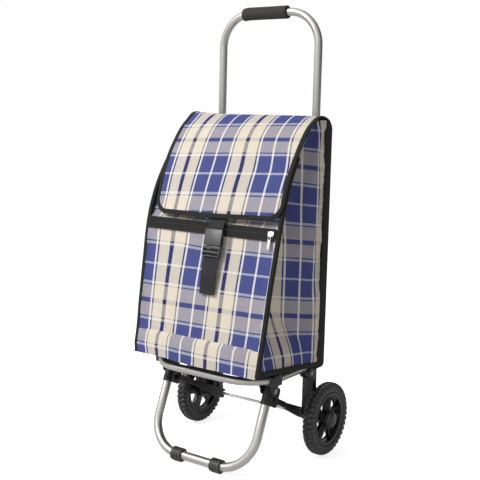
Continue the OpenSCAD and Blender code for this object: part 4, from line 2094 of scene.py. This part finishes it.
def slacken(obj: bpy.types.Object, give: float) -> None:
    """Lets a panel settle under its own weight between its held edges.

    Args:
        obj: Flat panel, one sheet.
        give: How far a point may move, mm.
    """
    start = coordinates(obj)
    with editing(obj):
        bpy.ops.mesh.select_non_manifold(extend=False)
    held = [v.index for v in obj.data.vertices if v.select]
    obj.vertex_groups.new(name="held").add(held, 1.0, "REPLACE")
    modifier = obj.modifiers.new("Cloth", "CLOTH")
    values = {
        "quality": 6,
        "mass": 0.15,
        "tension_stiffness": 30,
        "compression_stiffness": 30,
        "shear_stiffness": 10,
        "bending_stiffness": 0.8,
        "vertex_group_mass": "held",
        "shrink_min": -0.015,
        "shrink_max": -0.015,
    }
    for name, value in values.items():
        setattr(modifier.settings, name, value)
    modifier.collision_settings.use_collision = False
    steps = 20
    modifier.point_cache.frame_start, modifier.point_cache.frame_end = 1, steps
    for step in range(1, steps + 1):
        bpy.context.scene.frame_set(step)
    bpy.ops.object.modifier_apply(modifier=modifier.name)
    bpy.context.scene.frame_set(1)
    obj.vertex_groups.clear()
    shift = coordinates(obj) - start
    size = np.linalg.norm(shift, axis=1, keepdims=True)
    limit = give * MM
    scale = limit * np.tanh(size / limit) / np.maximum(size, 1e-9)
    put(obj, start + shift * scale)


# ------------------------------------------------------------ the closures


@dataclass
class Closures:
    """Zip, webbing and side-release buckle on the bag's front.

    Attributes:
        tape: Length of the zip's tape, mm.
        web: Width of the webbing, mm.
        pitch: Spacing of the zip's teeth, mm.
        pairs: Teeth on each side of the middle.
    """

    tape: float = 318.0
    web: float = 38.0
    pitch: float = 1.5
    pairs: int = 100

    def build(self) -> None:
        """Builds the zip, the webbing and the buckle."""
        self.zip()
        self.ribbon(
            "webbing_lower",
            ((371, 5.2), (384, 5.8), (409, 9.4), (461, 9.6)),
            "frame",
            "strap_lower",
        )
        self.ribbon(
            "webbing_upper",
            ((497, 10.0), (514, 8.8), (524, 4.6), (532, 3.0), (560, 2.0)),
            "flap",
            "strap_upper",
        )
        self.buckle()

    def zip(self) -> None:
        """Tape with two rows of teeth, the slider and its pull."""
        s0, s1 = OUTLINE.run(ZIP_Z - 14), OUTLINE.run(ZIP_Z + 11)

        def place(u: np.ndarray, v: np.ndarray) -> np.ndarray:
            """Where each point of the tape lies, sunk along the teeth.

            Args:
                u: First grid parameter, 0 to 1.
                v: Second grid parameter, 0 to 1.

            Returns:
                Rows of x, y, z in mm about the axle line.
            """
            out = 1.7 - 0.5 * np.exp(-(((v - 0.56) / 0.1) ** 2))
            yz = OUTLINE.out(s0 + (s1 - s0) * v, out)
            return slouched(np.column_stack([(u - 0.5) * self.tape, yz]))

        def cloth(u: np.ndarray, v: np.ndarray) -> np.ndarray:
            """Where each point is on the tape."""
            return np.column_stack([u * self.tape, v * 20])

        tape = shaped_grid("zip_tape", 60, 20, place, cloth)
        thicken(tape, 1.2)
        Piece(
            tape, "frame", "binding", (BINDING,), ("zipper_tape",), folds=True
        ).publish()
        self.teeth(OUTLINE.run(ZIP_Z))
        for node in ("zipper_slider", "zipper_pull"):
            obj = refined(node, node + "_cast", 0.35)
            Piece(obj, node, "zip_metal", (NICKEL,), (node,), folds=True).publish()

    def teeth(self, mid: float) -> None:
        """Two rows of small nylon teeth, meshed along the middle.

        Args:
            mid: Where they meet along the side view, mm.
        """
        tooth = primitive("cube", "tooth", scale=(1.1 * MM, 0.9 * MM, 2.2 * MM), size=1.0)
        modify(tooth, "BEVEL", width=0.25 * MM, segments=1)
        copies = []
        for i in range(-self.pairs, self.pairs + 1):
            twin = copy_of(tooth, "tooth")
            lift = 0.7 if i % 2 else -0.7
            y, z = OUTLINE.out(np.array([mid + lift]), np.array([1.9]))[0]
            move_by(twin, Matrix.Translation(world(np.array([i * self.pitch, y, z]))))
            copies.append(twin)
        bpy.data.objects.remove(tooth)
        obj = join("zip_teeth", copies)
        Piece(obj, "frame", "binding", (COIL,), (), folds=True).publish()

    def ribbon(
        self,
        name: str,
        knots: Sequence[tuple[float, float]],
        body: str,
        node: str,
    ) -> None:
        """One length of webbing over the bag's front.

        Args:
            name: Piece name.
            knots: Heights and how far out it lies there, mm.
            body: Moving body.
            node: Solid it stands for.
        """
        table = np.array([(OUTLINE.run(z), d) for z, d in knots])

        def place(u: np.ndarray, v: np.ndarray) -> np.ndarray:
            """Where each point of the webbing lies.

            Args:
                u: First grid parameter, 0 to 1.
                v: Second grid parameter, 0 to 1.

            Returns:
                Rows of x, y, z in mm about the axle line.
            """
            x = STRAP_X + (u - 0.5) * self.web
            s = table[0, 0] + (table[-1, 0] - table[0, 0]) * v
            return np.column_stack([x, OUTLINE.out(s, np.interp(s, *table.T))])

        def cloth(u: np.ndarray, v: np.ndarray) -> np.ndarray:
            """Where each point is along and across the webbing."""
            return np.column_stack([v * 100, u * self.web])

        obj = shaped_grid(name, 16, 40, place, cloth)
        thicken(obj, 1.5)
        Piece(obj, body, "webbing", (WEBBING,), (node,), folds=True).publish()

    def buckle(self) -> None:
        """Socket on the flap's strap and plug on the bag's."""
        for node, body in (("buckle_socket", "flap"), ("buckle_plug", "buckle_plug")):
            obj = refined(node, node + "_moulded", 1.2)
            Piece(obj, body, "buckle", (ACETAL,), (node,), folds=True).publish()


# -------------------------------------------------------------- the studio


@dataclass
class Studio:
    """Camera, soft light and a white sweep.

    Attributes:
        eye: Camera place about the axle line, mm.
        turn: Camera's direction round Z, degrees.
        down: Its tilt below level, degrees.
        roll: Its roll, degrees.
        lens: Focal length on a 36 mm sensor, mm.
    """

    eye: tuple[float, float, float] = (1156.1, -1673.4, 766.0)
    turn: float = 36.08
    down: float = 8.65
    roll: float = 0.73
    lens: float = 68.91

    def build(self) -> None:
        """Builds the camera first, then the light and the floor."""
        self.camera()
        self.lights()
        self.floor()

    def camera(self) -> None:
        """Camera at the chosen view."""
        a, e, r = (math.radians(v) for v in (self.turn, self.down, self.roll))
        level = Vector((-math.sin(a), math.cos(a), 0))
        ahead = level * math.cos(e) - Vector((0, 0, math.sin(e)))
        right = Vector((math.cos(a), math.sin(a), 0))
        up = right.cross(ahead)
        right, up = (
            right * math.cos(r) + up * math.sin(r),
            up * math.cos(r) - right * math.sin(r),
        )
        deselect()
        bpy.ops.object.camera_add()
        camera = bpy.context.object
        camera.name = "studio_camera"
        camera.data.lens = self.lens
        camera.data.sensor_width = 36
        turn = Matrix((right, up, -ahead)).transposed().to_4x4()
        camera.matrix_world = Matrix.Translation(world(np.array(self.eye))) @ turn
        bpy.context.scene.camera = camera

    def lights(self) -> None:
        """Large soft key from the front left, a weak fill and a rim light."""
        lamps = (
            ("key", (-1.2, -2.1, 2.6), 1.7, 78.0),
            ("fill", (2.4, -1.6, 1.3), 2.2, 2.0),
            ("rim", (-0.6, 2.2, 2.2), 1.8, 10.0),
        )
        for name, place, size, power in lamps:
            deselect()
            bpy.ops.object.light_add(type="AREA", location=place)
            lamp = bpy.context.object
            lamp.name = name + "_softbox"
            lamp.data.size = size
            lamp.data.energy = power
            aim = Vector((0, 0, 0.45)) - Vector(place)
            lamp.rotation_euler = aim.to_track_quat("-Z", "Y").to_euler()
        self.air()

    def air(self) -> None:
        """White behind everything, dim and brighter from the front left."""
        sky = bpy.data.worlds.new("white air")
        bpy.context.scene.world = sky
        sky.use_nodes = True
        tree = sky.node_tree
        tree.nodes.clear()
        add = partial(add_node, tree)
        camera, through, gloss = (
            add("LightPath", None, f"Is {ray} Ray")
            for ray in ("Camera", "Transmission", "Glossy")
        )
        seen = add("Math", {0: camera, 1: through}, operation="MAXIMUM")
        way = {0: add("TexCoord", None, "Generated"), 1: (-0.45, -0.85, 0.28)}
        lit = add("VectorMath", way, "Value", operation="DOT_PRODUCT")
        sheen = add(
            "MapRange",
            {
                "Value": lit,
                "From Min": -0.6,
                "From Max": 0.95,
                "To Min": 0.2,
                "To Max": 1.3,
            },
            interpolation_type="SMOOTHSTEP",
        )
        other = add("Mix", {0: gloss, 2: 0.25, 3: sheen})
        strength = add("Mix", {0: seen, 2: other, 3: 1.0})
        white = add("Background", {"Color": (1, 1, 1, 1), "Strength": strength})
        add("OutputWorld", {0: white})

    def floor(self) -> None:
        """Pale floor that keeps the shadow and is white to the camera."""
        floor = primitive("plane", "studio_floor", size=60.0)
        material = bpy.data.materials.new("pale matt floor")
        material.use_nodes = True
        tree = material.node_tree
        inputs = tree.nodes["Principled BSDF"].inputs
        values = {
            "Base Color": (0.82, 0.82, 0.82, 1),
            "Roughness": 0.9,
            "Specular IOR Level": 0.1,
            "Emission Color": (1, 1, 1, 1),
        }
        for name, value in values.items():
            inputs[name].default_value = value
        add = partial(add_node, tree)
        camera, gloss = (
            add("LightPath", None, f"Is {ray} Ray") for ray in ("Camera", "Glossy")
        )
        dimmed = add("Math", {0: gloss, 1: 0.3}, operation="MULTIPLY")
        seen = add("Math", {0: camera, 1: dimmed}, operation="MAXIMUM")
        glow = add("Math", {0: seen, 1: 0.78}, operation="MULTIPLY")
        tree.links.new(glow, inputs["Emission Strength"])
        floor.data.materials.append(material)


def main() -> None:
    """Builds the studio and the trolley."""
    bpy.context.scene.view_settings.view_transform = "Standard"
    Studio().build()
    Chassis().build()
    Wheel().build()
    Bag().build()
    Closures().build()


if __name__ == "__main__":
    main()
